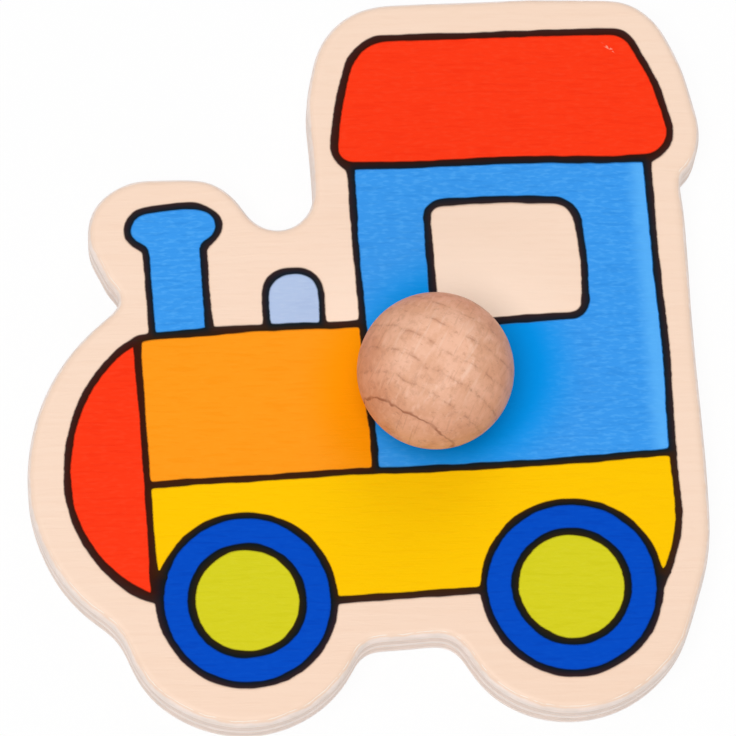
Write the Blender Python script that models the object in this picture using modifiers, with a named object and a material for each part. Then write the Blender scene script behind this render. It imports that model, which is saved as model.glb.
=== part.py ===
"""Wooden puzzle piece: a plywood steam engine, printed on its face, with a turned ball knob.

The piece lies on its back: +X runs along the engine from nose to cab, +Y up the picture
and +Z out of the printed face. Drawing sizes start where the cab's front wall meets the deck
and are taken to the middle of the drawn line. A circle is (x, y, radius), and an outline is
a belt laid round circles: a positive radius is a round corner and a negative one a hollow.
"""
import math

import bmesh
import bpy

MM = 0.001
FULL_TURN = 2.0 * math.pi

# Board
PLY_THICKNESS = 1.52 * MM
GLUE_LINE = 0.1 * MM
FRONT_ROUND = 1.1 * MM
BACK_ROUND = 0.5 * MM
FRONT_ROUND_STEPS = 3
BACK_ROUND_STEPS = 2
PLY_NAMES = ("back_veneer", "rear_crossband", "core_ply", "front_crossband", "face_veneer")

# Bare wood round the drawing
MARGIN = 4.3 * MM
BELLY_MARGIN = 4.8 * MM
SHOULDER_RADIUS = 10.5 * MM
SHOULDER_INSET = 1.0 * MM
SHOULDER_START = 7.8 * MM
TOP_BOW_RADIUS = 120.0 * MM
TOP_BOW_RISE = 0.35 * MM
CHIMNEY_LOBE_SPAN = 7.2 * MM
CHIMNEY_FRONT_LOBE_RADIUS = 7.1 * MM
CHIMNEY_REAR_LOBE_RADIUS = 6.65 * MM
CHIMNEY_HOLLOW_RADIUS = 4.5 * MM
BELLY_HOLLOW_RADIUS = 3.7 * MM
NOSE_FOOT_HOLLOW_RADIUS = 8.1 * MM
NOSE_TOP_HOLLOW_RADIUS = 2.7 * MM
NOSE_TOP_HOLLOW_LIFT = 5.95 * MM
EAVE_HOLLOW_RADIUS = 3.8 * MM
EAVE_HOLLOW_DROP = 4.2 * MM
REAR_LOBE_RADIUS = 21.0 * MM
REAR_LOBE_START = 8.5 * MM

# Print
LINE_WIDTH = 0.95 * MM
INK_THICKNESS = 0.1 * MM
INK_GAP = 0.05 * MM
FIELD_GAP = 0.3 * MM
CORNER_RADIUS = 0.75 * MM
NOOK_RADIUS = 0.3 * MM
PRINT_SHIFT_X = 0.4 * MM
PRINT_SHIFT_Y = 0.3 * MM

# Engine drawing
BOILER_LENGTH = 29.1 * MM
BOILER_HEIGHT = 19.6 * MM
CAB_LENGTH = 38.3 * MM
FRAME_DEPTH = 16.6 * MM
FRAME_REAR_RADIUS = 22.0 * MM
FRAME_REAR_START = 6.5 * MM
NOSE_TOP_RADIUS = 23.0 * MM
NOSE_FOOT_RADIUS = 16.5 * MM
NOSE_LIFT = 0.5 * MM

ROOF_TILT = math.radians(-2.1)
ROOF_BASE = 40.45 * MM
ROOF_HEIGHT = 17.0 * MM
EAVE_FRONT = 1.9 * MM
EAVE_REAR = 3.2 * MM
ROOF_SLOPE_FRONT = 2.0 * MM
ROOF_SLOPE_REAR = 3.7 * MM
EAVE_FRONT_RADIUS = 2.3 * MM
EAVE_REAR_RADIUS = 3.3 * MM
RIDGE_FRONT_RADIUS = 4.7 * MM
RIDGE_REAR_RADIUS = 3.0 * MM

WINDOW_FROM_WALL = 9.3 * MM
WINDOW_LENGTH = 19.75 * MM
WINDOW_LIFT = 18.5 * MM
WINDOW_BELOW_ROOF = 5.65 * MM
WINDOW_CORNER_RADIUS = 1.8 * MM
WINDOW_REAR_RADIUS = 3.2 * MM

CHIMNEY_FROM_NOSE = 2.0 * MM
CHIMNEY_WIDTH = 7.4 * MM
CAP_WIDTH = 11.7 * MM
CAP_LIFT = 14.2 * MM
CAP_FRONT_RADIUS = 2.45 * MM
CAP_REAR_RADIUS = 2.75 * MM
CAP_HOLLOW_RADIUS = 0.8 * MM

DOME_FROM_CAB = 5.15 * MM
DOME_WIDTH = 7.2 * MM
DOME_HEIGHT = 7.5 * MM
DOME_SHOULDER_RADIUS = 3.15 * MM

WHEEL_RADIUS = 11.15 * MM
TYRE_WIDTH = 4.05 * MM
FRONT_WHEEL_INSET = 0.4 * MM
FRONT_WHEEL_DROP = 4.7 * MM
REAR_WHEEL_INSET = 3.1 * MM
REAR_WHEEL_DROP = 5.75 * MM

# Knob
BALL_RADIUS = 10.0 * MM
SEAT_RADIUS = 4.5 * MM
SEAT_ROUND = 0.5 * MM
CROWN_RADIUS = 4.4 * MM
CROWN_ROUND = 2.5 * MM
SEAT_GAP = 0.1 * MM
KNOB_X = 8.7 * MM
KNOB_Y = 10.6 * MM
BALL_STEPS = 36
BALL_RINGS = 14
RIM_STEPS = 5
DOWEL_RADIUS = 3.0 * MM
DOWEL_IN_KNOB = 9.0 * MM
DOWEL_PLIES = 3
DOWEL_CHAMFER = 0.5 * MM
DOWEL_CLEARANCE = 0.15 * MM
DOWEL_STEPS = 24
DOWEL_RIM_ANGLE = math.radians(60.0)

# Finishes
PLY_FACE = ("ply_face", (0.93, 0.71, 0.53), 0.55)
PLY_CROSSBAND = ("ply_crossband", (0.88, 0.63, 0.45), 0.6)
BEECH = ("beech", (0.78, 0.42, 0.28), 0.55)
INK_ROUGHNESS = 0.45
INK_COLOURS = {
    "red_ink": (0.99, 0.04, 0.01),
    "sky_blue_ink": (0.05, 0.34, 0.87),
    "pale_blue_ink": (0.44, 0.56, 0.81),
    "orange_ink": (1.0, 0.33, 0.01),
    "yellow_ink": (0.99, 0.56, 0.0),
    "deep_blue_ink": (0.0, 0.07, 0.55),
    "lime_green_ink": (0.67, 0.62, 0.02),
    "black_ink": (0.012, 0.008, 0.006),
}

# Meshing
ARC_ERROR = 0.03 * MM
LARGEST_ARC_STEP = math.radians(30.0)
LEAST_TURN = math.radians(1.0)
SHARP_ANGLE = math.radians(30.0)
TOUCH = 0.01 * MM
MERGE = 0.01 * MM

# Levels and places that follow from the sizes above
HALF_LINE = LINE_WIDTH / 2.0
PLY_PITCH = PLY_THICKNESS + GLUE_LINE
BOARD_THICKNESS = len(PLY_NAMES) * PLY_THICKNESS + (len(PLY_NAMES) - 1) * GLUE_LINE
COLOUR_FLOOR = BOARD_THICKNESS + INK_GAP
LINE_FLOOR = COLOUR_FLOOR + INK_THICKNESS + INK_GAP
DOWEL_FLOOR = (len(PLY_NAMES) - DOWEL_PLIES) * PLY_PITCH
KNOB_FLOOR = COLOUR_FLOOR + INK_THICKNESS + SEAT_GAP
BOILER_FRONT = -BOILER_LENGTH
FRONT_AXLE_X = BOILER_FRONT + FRONT_WHEEL_INSET + WHEEL_RADIUS
FRONT_AXLE_Y = -FRONT_WHEEL_DROP - WHEEL_RADIUS
REAR_AXLE_X = CAB_LENGTH - REAR_WHEEL_INSET - WHEEL_RADIUS
REAR_AXLE_Y = -REAR_WHEEL_DROP - WHEEL_RADIUS
HUB_RADIUS = WHEEL_RADIUS - TYRE_WIDTH
FRONT_WHEEL = (FRONT_AXLE_X, FRONT_AXLE_Y, WHEEL_RADIUS)
REAR_WHEEL = (REAR_AXLE_X, REAR_AXLE_Y, WHEEL_RADIUS)
NOSE_RISE = BOILER_HEIGHT - NOSE_LIFT
NOSE_TOP_X = BOILER_FRONT + math.sqrt(NOSE_TOP_RADIUS ** 2 - NOSE_RISE ** 2)
NOSE_TOP = (NOSE_TOP_X, NOSE_LIFT, NOSE_TOP_RADIUS)
NOSE_FOOT = (NOSE_TOP_X - NOSE_TOP_RADIUS + NOSE_FOOT_RADIUS, NOSE_LIFT, NOSE_FOOT_RADIUS)
FRAME_REAR = (CAB_LENGTH - FRAME_REAR_RADIUS, -FRAME_REAR_START, FRAME_REAR_RADIUS)
CHIMNEY_FRONT = BOILER_FRONT + CHIMNEY_FROM_NOSE
CHIMNEY_REAR = CHIMNEY_FRONT + CHIMNEY_WIDTH
CHIMNEY_MIDDLE = (CHIMNEY_FRONT + CHIMNEY_REAR) / 2.0
CAP_FRONT = CHIMNEY_MIDDLE - CAP_WIDTH / 2.0
CAP_REAR = CHIMNEY_MIDDLE + CAP_WIDTH / 2.0
CAP_LEVEL = BOILER_HEIGHT + CAP_LIFT
DOME_REAR = -DOME_FROM_CAB
DOME_FRONT = DOME_REAR - DOME_WIDTH
DOME_SHOULDER = min(DOME_SHOULDER_RADIUS, DOME_WIDTH / 2.0 - TOUCH)
DOME_SHOULDER_LEVEL = BOILER_HEIGHT + DOME_HEIGHT - DOME_SHOULDER


def heading(first, second):
    """Return the direction of the straight run that leaves one circle and meets the next."""
    across = second[0] - first[0]
    up = second[1] - first[1]
    lean = (second[2] - first[2]) / math.hypot(across, up)
    return math.atan2(up, across) - math.asin(max(-1.0, min(1.0, lean)))


def belt(circles):
    """Return the counter-clockwise outline of a belt laid round the circles."""
    points = []
    for index, circle in enumerate(circles):
        x, y, radius = circle
        arriving = heading(circles[index - 1], circle)
        leaving = heading(circle, circles[(index + 1) % len(circles)])
        side = math.copysign(1.0, radius)
        turn = (side * (leaving - arriving)) % FULL_TURN
        if turn > FULL_TURN - LEAST_TURN:
            turn = 0.0
        size = max(abs(radius), ARC_ERROR)
        arc_step = min(2.0 * math.acos(1.0 - ARC_ERROR / size), LARGEST_ARC_STEP)
        steps = math.ceil(turn / arc_step)
        for step in range(steps + 1):
            angle = arriving + side * turn * step / max(steps, 1)
            points.append((x + radius * math.sin(angle), y - radius * math.cos(angle)))
    steps_back = [math.dist(point, points[index - 1]) for index, point in enumerate(points)]
    return [point for point, step_back in zip(points, steps_back) if step_back > TOUCH]


def grown(circles, distance):
    """Return the circles of the same outline moved outwards by a distance."""
    return [(x, y, radius + distance) for x, y, radius in circles]


def ring(centre, radius):
    """Return the outline of a full circle."""
    steps = math.ceil(FULL_TURN / (2.0 * math.acos(1.0 - ARC_ERROR / radius)))
    angles = [FULL_TURN * step / steps for step in range(steps)]
    return [(centre[0] + radius * math.cos(a), centre[1] + radius * math.sin(a)) for a in angles]


def beside(centre, reach, level, side):
    """Return the x at a level that lies at a reach from a centre, on its left (-1) or right (1)."""
    return centre[0] + side * math.sqrt(max(reach ** 2 - (level - centre[1]) ** 2, 0.0))


def above(centre, reach, across, side):
    """Return the y at a place across that lies at a reach from a centre, below (-1) or above (1)."""
    return centre[1] + side * math.sqrt(max(reach ** 2 - (across - centre[0]) ** 2, 0.0))


def meeting(first, first_reach, second, second_reach):
    """Return the point at given reaches from two centres, to the left of the line between them."""
    across = second[0] - first[0]
    up = second[1] - first[1]
    span = math.hypot(across, up)
    along = (span ** 2 + first_reach ** 2 - second_reach ** 2) / (2.0 * span)
    off = math.sqrt(max(first_reach ** 2 - along ** 2, 0.0))
    return (
        first[0] + (along * across - off * up) / span,
        first[1] + (along * up + off * across) / span,
    )


def roof_point(across, up):
    """Return a point of the roof, which is drawn tilted about the top of the cab's front wall."""
    return (
        across * math.cos(ROOF_TILT) - up * math.sin(ROOF_TILT),
        ROOF_BASE + across * math.sin(ROOF_TILT) + up * math.cos(ROOF_TILT),
    )


def roof_underside(across, drop=0.0):
    """Return the height of the roof's lower line at a place across, or a drop below that line."""
    return ROOF_BASE + across * math.tan(ROOF_TILT) - drop / math.cos(ROOF_TILT)


def roof_circles():
    """Return the roof's four corners."""
    rear = CAB_LENGTH / math.cos(ROOF_TILT) + EAVE_REAR
    ridge_rear = rear - ROOF_SLOPE_REAR - RIDGE_REAR_RADIUS
    ridge_front = ROOF_SLOPE_FRONT - EAVE_FRONT + RIDGE_FRONT_RADIUS
    corners = (
        (-EAVE_FRONT + EAVE_FRONT_RADIUS, EAVE_FRONT_RADIUS, EAVE_FRONT_RADIUS),
        (rear - EAVE_REAR_RADIUS, EAVE_REAR_RADIUS, EAVE_REAR_RADIUS),
        (ridge_rear, ROOF_HEIGHT - RIDGE_REAR_RADIUS, RIDGE_REAR_RADIUS),
        (ridge_front, ROOF_HEIGHT - RIDGE_FRONT_RADIUS, RIDGE_FRONT_RADIUS),
    )
    return [(*roof_point(across, up), radius) for across, up, radius in corners]


def box_circles(left, bottom, right, top, radius):
    """Return the corners of an upright box."""
    return [
        (left + radius, bottom + radius, radius),
        (right - radius, bottom + radius, radius),
        (right - radius, top - radius, radius),
        (left + radius, top - radius, radius),
    ]


def cab_circles():
    """Return the cab's corners: its top follows the tilted roof."""
    front = CORNER_RADIUS
    rear = CAB_LENGTH - CORNER_RADIUS
    return [
        (front, CORNER_RADIUS, CORNER_RADIUS),
        (rear, CORNER_RADIUS, CORNER_RADIUS),
        (rear, roof_underside(rear, CORNER_RADIUS), CORNER_RADIUS),
        (front, roof_underside(front, CORNER_RADIUS), CORNER_RADIUS),
    ]


def window_circles():
    """Return the window's corners: its top is drawn with the roof's tilt."""
    left = WINDOW_FROM_WALL
    right = left + WINDOW_LENGTH
    bottom = WINDOW_LIFT
    top = ROOF_BASE - WINDOW_BELOW_ROOF
    small = WINDOW_CORNER_RADIUS
    large = WINDOW_REAR_RADIUS
    fall = WINDOW_LENGTH * math.tan(ROOF_TILT)
    return [
        (left + small, bottom + small, small),
        (right - small, bottom + small, small),
        (right - large, top + fall - large, large),
        (left + small, top - small, small),
    ]


def chimney_circles():
    """Return the chimney: a straight stem under a wide rounded cap."""
    hollow = CAP_HOLLOW_RADIUS
    drop = max(CAP_FRONT_RADIUS, CAP_REAR_RADIUS) + hollow
    return [
        (CHIMNEY_FRONT + CORNER_RADIUS, BOILER_HEIGHT + CORNER_RADIUS, CORNER_RADIUS),
        (CHIMNEY_REAR - CORNER_RADIUS, BOILER_HEIGHT + CORNER_RADIUS, CORNER_RADIUS),
        (CHIMNEY_REAR + hollow, CAP_LEVEL - drop, -hollow),
        (CAP_REAR - CAP_REAR_RADIUS, CAP_LEVEL, CAP_REAR_RADIUS),
        (CAP_FRONT + CAP_FRONT_RADIUS, CAP_LEVEL, CAP_FRONT_RADIUS),
        (CHIMNEY_FRONT - hollow, CAP_LEVEL - drop, -hollow),
    ]


def dome_circles():
    """Return the steam dome: a small arch on the boiler."""
    return [
        (DOME_FRONT + CORNER_RADIUS, BOILER_HEIGHT + CORNER_RADIUS, CORNER_RADIUS),
        (DOME_REAR - CORNER_RADIUS, BOILER_HEIGHT + CORNER_RADIUS, CORNER_RADIUS),
        (DOME_REAR - DOME_SHOULDER, DOME_SHOULDER_LEVEL, DOME_SHOULDER),
        (DOME_FRONT + DOME_SHOULDER, DOME_SHOULDER_LEVEL, DOME_SHOULDER),
    ]


def nose_tips():
    """Return the nose's upper and lower tips, where its curve runs into the boiler's front."""
    across = BOILER_FRONT - CORNER_RADIUS
    top = above(NOSE_TOP, NOSE_TOP_RADIUS - CORNER_RADIUS + TOUCH, across, 1)
    foot = above(NOSE_FOOT, NOSE_FOOT_RADIUS - CORNER_RADIUS + TOUCH, across, -1)
    return (across, top, CORNER_RADIUS), (across, foot, CORNER_RADIUS)


def nose_circles():
    """Return the nose: two arcs that meet at its foremost point, and their tips."""
    top, foot = nose_tips()
    return [top, NOSE_TOP, NOSE_FOOT, foot]


def frame_circles():
    """Return the frame: a deep sole plate arched over both wheels, with a curved rear."""
    reach = WHEEL_RADIUS + CORNER_RADIUS + TOUCH
    low = CORNER_RADIUS - FRAME_DEPTH
    front = BOILER_FRONT + CORNER_RADIUS
    rear_reach = FRAME_REAR_RADIUS - CORNER_RADIUS + TOUCH
    tip = meeting(FRAME_REAR, rear_reach, REAR_WHEEL, reach)
    return [
        (front, -CORNER_RADIUS, CORNER_RADIUS),
        (front, above(FRONT_WHEEL, reach, front, 1), CORNER_RADIUS),
        (FRONT_AXLE_X, FRONT_AXLE_Y, -WHEEL_RADIUS),
        (beside(FRONT_WHEEL, reach, low, 1), low, CORNER_RADIUS),
        (beside(REAR_WHEEL, reach, low, -1), low, CORNER_RADIUS),
        (REAR_AXLE_X, REAR_AXLE_Y, -WHEEL_RADIUS),
        (*tip, CORNER_RADIUS),
        FRAME_REAR,
        (CAB_LENGTH - CORNER_RADIUS, -CORNER_RADIUS, CORNER_RADIUS),
    ]


def nook(first, second, radius, edge):
    """Return the hollow between two lobes, to the left of the line between their circles."""
    reach = edge + radius + TOUCH
    return (*meeting(first, first[2] + reach, second, second[2] + reach), -radius)


def drawing_circles():
    """Return the outer edge of the whole drawing, from the front wheel round and back."""
    reach = HALF_LINE + NOOK_RADIUS
    wheel_reach = WHEEL_RADIUS + reach + TOUCH
    low = -FRAME_DEPTH - reach
    deck = BOILER_HEIGHT + reach
    roof = roof_circles()
    eave_rear = CAB_LENGTH + reach
    eave_front = -reach
    tip_level = BOILER_HEIGHT - CORNER_RADIUS
    tip_reach = NOSE_TOP_RADIUS - CORNER_RADIUS + TOUCH
    tip = (beside(NOSE_TOP, tip_reach, tip_level, -1), tip_level, CORNER_RADIUS)
    chimney = grown(chimney_circles(), HALF_LINE)
    dome = grown(dome_circles(), HALF_LINE)
    return [
        *grown([FRONT_WHEEL], HALF_LINE),
        (beside(FRONT_WHEEL, wheel_reach, low, 1), low, -NOOK_RADIUS),
        (beside(REAR_WHEEL, wheel_reach, low, -1), low, -NOOK_RADIUS),
        *grown([REAR_WHEEL], HALF_LINE),
        nook(FRAME_REAR, REAR_WHEEL, NOOK_RADIUS, HALF_LINE),
        *grown([FRAME_REAR], HALF_LINE),
        (eave_rear, roof_underside(eave_rear, reach), -NOOK_RADIUS),
        *grown(roof[1:] + roof[:1], HALF_LINE),
        (eave_front, roof_underside(eave_front, reach), -NOOK_RADIUS),
        (eave_front, deck, -NOOK_RADIUS),
        (DOME_REAR + reach, deck, -NOOK_RADIUS),
        *dome[2:],
        (DOME_FRONT - reach, deck, -NOOK_RADIUS),
        (CHIMNEY_REAR + reach, deck, -NOOK_RADIUS),
        *chimney[2:],
        (CHIMNEY_FRONT - reach, deck, -NOOK_RADIUS),
        *grown([tip, NOSE_TOP, NOSE_FOOT], HALF_LINE),
        nook(FRONT_WHEEL, NOSE_FOOT, NOOK_RADIUS, HALF_LINE),
    ]


def board_circles():
    """Return the sawn outline: the drawing's lobes plus the margin, with wide hollows."""
    edge = HALF_LINE + MARGIN
    belly = -FRAME_DEPTH - HALF_LINE - BELLY_MARGIN - BELLY_HOLLOW_RADIUS
    belly_reach = WHEEL_RADIUS + edge + BELLY_HOLLOW_RADIUS + TOUCH
    front = -edge
    roof = roof_circles()
    shoulder = roof_point(0.0, ROOF_HEIGHT)[1] + edge - SHOULDER_RADIUS
    rear = CAB_LENGTH + edge
    middle = CAB_LENGTH / 2.0
    crown = roof_point(middle, ROOF_HEIGHT)[1] + edge + TOP_BOW_RISE
    notch_level = BOILER_HEIGHT + NOSE_TOP_HOLLOW_LIFT
    notch_reach = NOSE_TOP_RADIUS + edge + NOSE_TOP_HOLLOW_RADIUS + TOUCH
    notch = beside(NOSE_TOP, notch_reach, notch_level, -1)
    lobe = (CHIMNEY_MIDDLE + CHIMNEY_LOBE_SPAN / 2.0, CAP_LEVEL)
    hollow = front - CHIMNEY_HOLLOW_RADIUS
    hollow_reach = CHIMNEY_REAR_LOBE_RADIUS + CHIMNEY_HOLLOW_RADIUS + TOUCH
    return [
        *grown([FRONT_WHEEL], edge),
        (beside(FRONT_WHEEL, belly_reach, belly, 1), belly, -BELLY_HOLLOW_RADIUS),
        (beside(REAR_WHEEL, belly_reach, belly, -1), belly, -BELLY_HOLLOW_RADIUS),
        *grown([REAR_WHEEL], edge),
        (rear - REAR_LOBE_RADIUS, -REAR_LOBE_START, REAR_LOBE_RADIUS),
        (rear + EAVE_HOLLOW_RADIUS, roof_underside(rear) - EAVE_HOLLOW_DROP, -EAVE_HOLLOW_RADIUS),
        *grown(roof[1:3], edge),
        (middle, crown - TOP_BOW_RADIUS, TOP_BOW_RADIUS),
        (front + SHOULDER_INSET + SHOULDER_RADIUS, shoulder, SHOULDER_RADIUS),
        (front + SHOULDER_RADIUS, ROOF_BASE + SHOULDER_START, SHOULDER_RADIUS),
        (hollow, above(lobe, hollow_reach, hollow, 1), -CHIMNEY_HOLLOW_RADIUS),
        (*lobe, CHIMNEY_REAR_LOBE_RADIUS),
        (lobe[0] - CHIMNEY_LOBE_SPAN, lobe[1], CHIMNEY_FRONT_LOBE_RADIUS),
        (notch, notch_level, -NOSE_TOP_HOLLOW_RADIUS),
        *grown([NOSE_TOP, NOSE_FOOT], edge),
        nook(FRONT_WHEEL, NOSE_FOOT, NOSE_FOOT_HOLLOW_RADIUS, edge),
    ]


def finish(name, colour, roughness):
    """Return a Principled material."""
    material = bpy.data.materials.new(name)
    material.use_nodes = True
    shader = material.node_tree.nodes["Principled BSDF"]
    shader.inputs["Base Color"].default_value = (*colour, 1.0)
    shader.inputs["Roughness"].default_value = roughness
    shader.inputs["Metallic"].default_value = 0.0
    material.diffuse_color = (*colour, 1.0)
    return material


def flat_curve(name, outlines, floor, thickness):
    """Return a 2D curve object filled between its outlines and extruded upwards from a floor."""
    curve = bpy.data.curves.new(name, "CURVE")
    curve.dimensions = "2D"
    curve.fill_mode = "BOTH"
    curve.extrude = thickness / 2.0
    for outline in outlines:
        spline = curve.splines.new("POLY")
        spline.points.add(len(outline) - 1)
        for point, (x, y) in zip(spline.points, outline):
            point.co = (x, y, 0.0, 1.0)
        spline.use_cyclic_u = True
    piece = bpy.data.objects.new(name, curve)
    piece.location = (0.0, 0.0, floor + thickness / 2.0)
    return piece


def add_piece(piece, collection, parent, material):
    """Put a piece in its collection, under its parent, in its material."""
    collection.objects.link(piece)
    piece.parent = parent
    piece.data.materials.append(material)


def mesh_from_curve(piece, collection):
    """Replace a flat curve by a closed mesh whose two faces are single polygons."""
    name = piece.name
    evaluated = piece.evaluated_get(bpy.context.evaluated_depsgraph_get())
    mesh = bpy.data.meshes.new_from_object(evaluated)
    work = bmesh.new()
    work.from_mesh(mesh)
    bmesh.ops.remove_doubles(work, verts=work.verts, dist=MERGE)
    bmesh.ops.dissolve_limit(work, angle_limit=LEAST_TURN, verts=work.verts, edges=work.edges)
    work.to_mesh(mesh)
    work.free()
    solid = bpy.data.objects.new(name, mesh)
    solid.parent = piece.parent
    solid.location = piece.location
    collection.objects.link(solid)
    curve = piece.data
    bpy.data.objects.remove(piece)
    bpy.data.curves.remove(curve)
    solid.name = name
    mesh.name = name
    return solid


def round_rim(piece, width, steps, side):
    """Round a ply's upper (1) or lower (-1) rim with a Bevel modifier."""
    mesh = piece.data
    level = side * PLY_THICKNESS / 2.0
    weights = mesh.attributes.new("bevel_weight_edge", "FLOAT", "EDGE")
    for edge in mesh.edges:
        heights = [mesh.vertices[index].co.z for index in edge.vertices]
        on_rim = all(abs(height - level) < MERGE for height in heights)
        weights.data[edge.index].value = 1.0 if on_rim else 0.0
    rounding = piece.modifiers.new("sanded_rim", "BEVEL")
    rounding.limit_method = "WEIGHT"
    rounding.width = width
    rounding.segments = steps


def shade_round(mesh):
    """Shade a mesh smooth between its sharp edges."""
    mesh.shade_smooth()
    mesh.set_sharp_from_angle(angle=SHARP_ANGLE)


def cylinder(name, radius, bottom, top, collection, parent):
    """Return an upright cylinder on the knob's axis."""
    bpy.ops.mesh.primitive_cylinder_add(
        vertices=DOWEL_STEPS, radius=radius, depth=top - bottom, location=(0.0, 0.0, 0.0)
    )
    piece = bpy.context.active_object
    piece.name = name
    piece.data.name = name
    for holder in list(piece.users_collection):
        holder.objects.unlink(piece)
    collection.objects.link(piece)
    piece.parent = parent
    piece.location = (KNOB_X, KNOB_Y, (bottom + top) / 2.0)
    return piece


def rim_arc(flat_radius, rounding, end):
    """Return the profile points of a pole flat's rounded rim, from the flat out to the ball."""
    height = math.sqrt(BALL_RADIUS ** 2 - flat_radius ** 2)
    centre_height = height - rounding
    centre_out = math.sqrt((BALL_RADIUS - rounding) ** 2 - centre_height ** 2)
    last = math.atan2(centre_height, centre_out)
    start = math.pi / 2.0
    angles = [start + (last - start) * step / RIM_STEPS for step in range(RIM_STEPS + 1)]
    points = [
        (centre_out + rounding * math.cos(a), end * (centre_height + rounding * math.sin(a)))
        for a in angles
    ]
    return points, last


def knob_profile(centre_level, bore_top):
    """Return the knob's half section from crown to seat, then up its blind bore to the axis."""
    crown, crown_angle = rim_arc(CROWN_RADIUS, CROWN_ROUND, 1)
    seat, seat_angle = rim_arc(SEAT_RADIUS, SEAT_ROUND, -1)
    sweep = crown_angle + seat_angle
    ball = [
        (BALL_RADIUS * math.cos(crown_angle - sweep * step / BALL_RINGS),
         BALL_RADIUS * math.sin(crown_angle - sweep * step / BALL_RINGS))
        for step in range(1, BALL_RINGS)
    ]
    outside = [(0.0, crown[0][1])] + crown + ball + seat[::-1]
    bore = DOWEL_RADIUS + DOWEL_CLEARANCE
    points = [(out, centre_level + up) for out, up in outside]
    points.append((bore, points[-1][1]))
    points.append((bore, bore_top))
    points.append((0.0, bore_top))
    return points


def turned(name, profile, steps, collection, parent, location):
    """Return a piece turned from a half section with a Screw modifier."""
    mesh = bpy.data.meshes.new(name)
    vertices = [(out, 0.0, up) for out, up in profile]
    edges = [(index, index + 1) for index in range(len(profile) - 1)]
    mesh.from_pydata(vertices, edges, [])
    piece = bpy.data.objects.new(name, mesh)
    collection.objects.link(piece)
    piece.parent = parent
    piece.location = location
    screw = piece.modifiers.new("turning", "SCREW")
    screw.steps = steps
    screw.render_steps = steps
    screw.use_merge_vertices = True
    screw.merge_threshold = MERGE
    screw.use_smooth_shade = True
    return piece


def make_board(outline, pieces, cutters, origin):
    """Make the five cross-laid plies and drill the upper three for the knob's dowel."""
    light = finish(*PLY_FACE)
    cross = finish(*PLY_CROSSBAND)
    drill = cylinder(
        "dowel_bore", DOWEL_RADIUS + DOWEL_CLEARANCE, DOWEL_FLOOR - GLUE_LINE / 2.0,
        BOARD_THICKNESS + PLY_THICKNESS, cutters, origin,
    )
    drill.display_type = "WIRE"
    drill.hide_render = True
    for level, name in enumerate(PLY_NAMES):
        floor = level * PLY_PITCH
        sheet = flat_curve(name, [outline], floor, PLY_THICKNESS)
        add_piece(sheet, pieces, origin, cross if name.endswith("crossband") else light)
        ply = mesh_from_curve(sheet, pieces)
        if name == "face_veneer":
            round_rim(ply, FRONT_ROUND, FRONT_ROUND_STEPS, 1)
        if name == "back_veneer":
            round_rim(ply, BACK_ROUND, BACK_ROUND_STEPS, -1)
        if level >= len(PLY_NAMES) - DOWEL_PLIES:
            drilling = ply.modifiers.new("dowel_bore", "BOOLEAN")
            drilling.operation = "DIFFERENCE"
            drilling.solver = "EXACT"
            drilling.object = drill
        shade_round(ply.data)


def make_print(pieces, print_plate):
    """Print the colour fields, then the black line drawing over their edges."""
    inks = {name: finish(name, colour, INK_ROUGHNESS) for name, colour in INK_COLOURS.items()}
    nose = nose_circles()
    boiler = box_circles(BOILER_FRONT, 0.0, 0.0, BOILER_HEIGHT, CORNER_RADIUS)
    frame = frame_circles()
    chimney = chimney_circles()
    dome = dome_circles()
    cab = cab_circles()
    window = window_circles()
    roof = roof_circles()
    trim = FIELD_GAP / 2.0
    bore_centre = (KNOB_X - PRINT_SHIFT_X, KNOB_Y - PRINT_SHIFT_Y)
    bore = ring(bore_centre, DOWEL_RADIUS + DOWEL_CLEARANCE)
    fields = [
        ("print_roof", "red_ink", [belt(grown(roof, -trim))]),
        ("print_cab", "sky_blue_ink", [belt(grown(cab, -trim)), belt(grown(window, trim)), bore]),
        ("print_boiler", "orange_ink", [belt(grown(boiler, -trim))]),
        ("print_nose", "red_ink", [belt(grown(nose, -trim))]),
        ("print_frame", "yellow_ink", [belt(grown(frame, -trim))]),
        ("print_chimney", "sky_blue_ink", [belt(grown(chimney, -trim))]),
        ("print_dome", "pale_blue_ink", [belt(grown(dome, -trim))]),
    ]
    openings = [nose, boiler, frame, chimney, dome, cab, roof]
    network = [belt(drawing_circles())]
    network += [belt(grown(circles, -HALF_LINE)) for circles in openings]
    window_line = [belt(grown(window, HALF_LINE)), belt(grown(window, -HALF_LINE))]
    lines = [("print_outline", network), ("print_window_line", window_line)]
    for name, wheel in (("front", FRONT_WHEEL), ("rear", REAR_WHEEL)):
        tyre = [ring(wheel, WHEEL_RADIUS - trim), ring(wheel, HUB_RADIUS + trim)]
        fields.append((f"print_{name}_tyre", "deep_blue_ink", tyre))
        fields.append((f"print_{name}_hub", "lime_green_ink", [ring(wheel, HUB_RADIUS - trim)]))
        network.append(ring(wheel, WHEEL_RADIUS - HALF_LINE))
        hub_line = [ring(wheel, HUB_RADIUS + HALF_LINE), ring(wheel, HUB_RADIUS - HALF_LINE)]
        lines.append((f"print_{name}_hub_line", hub_line))
    for name, ink, outlines in fields:
        film = flat_curve(name, outlines, COLOUR_FLOOR, INK_THICKNESS)
        add_piece(film, pieces, print_plate, inks[ink])
    for name, outlines in lines:
        film = flat_curve(name, outlines, LINE_FLOOR, INK_THICKNESS)
        add_piece(film, pieces, print_plate, inks["black_ink"])


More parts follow.
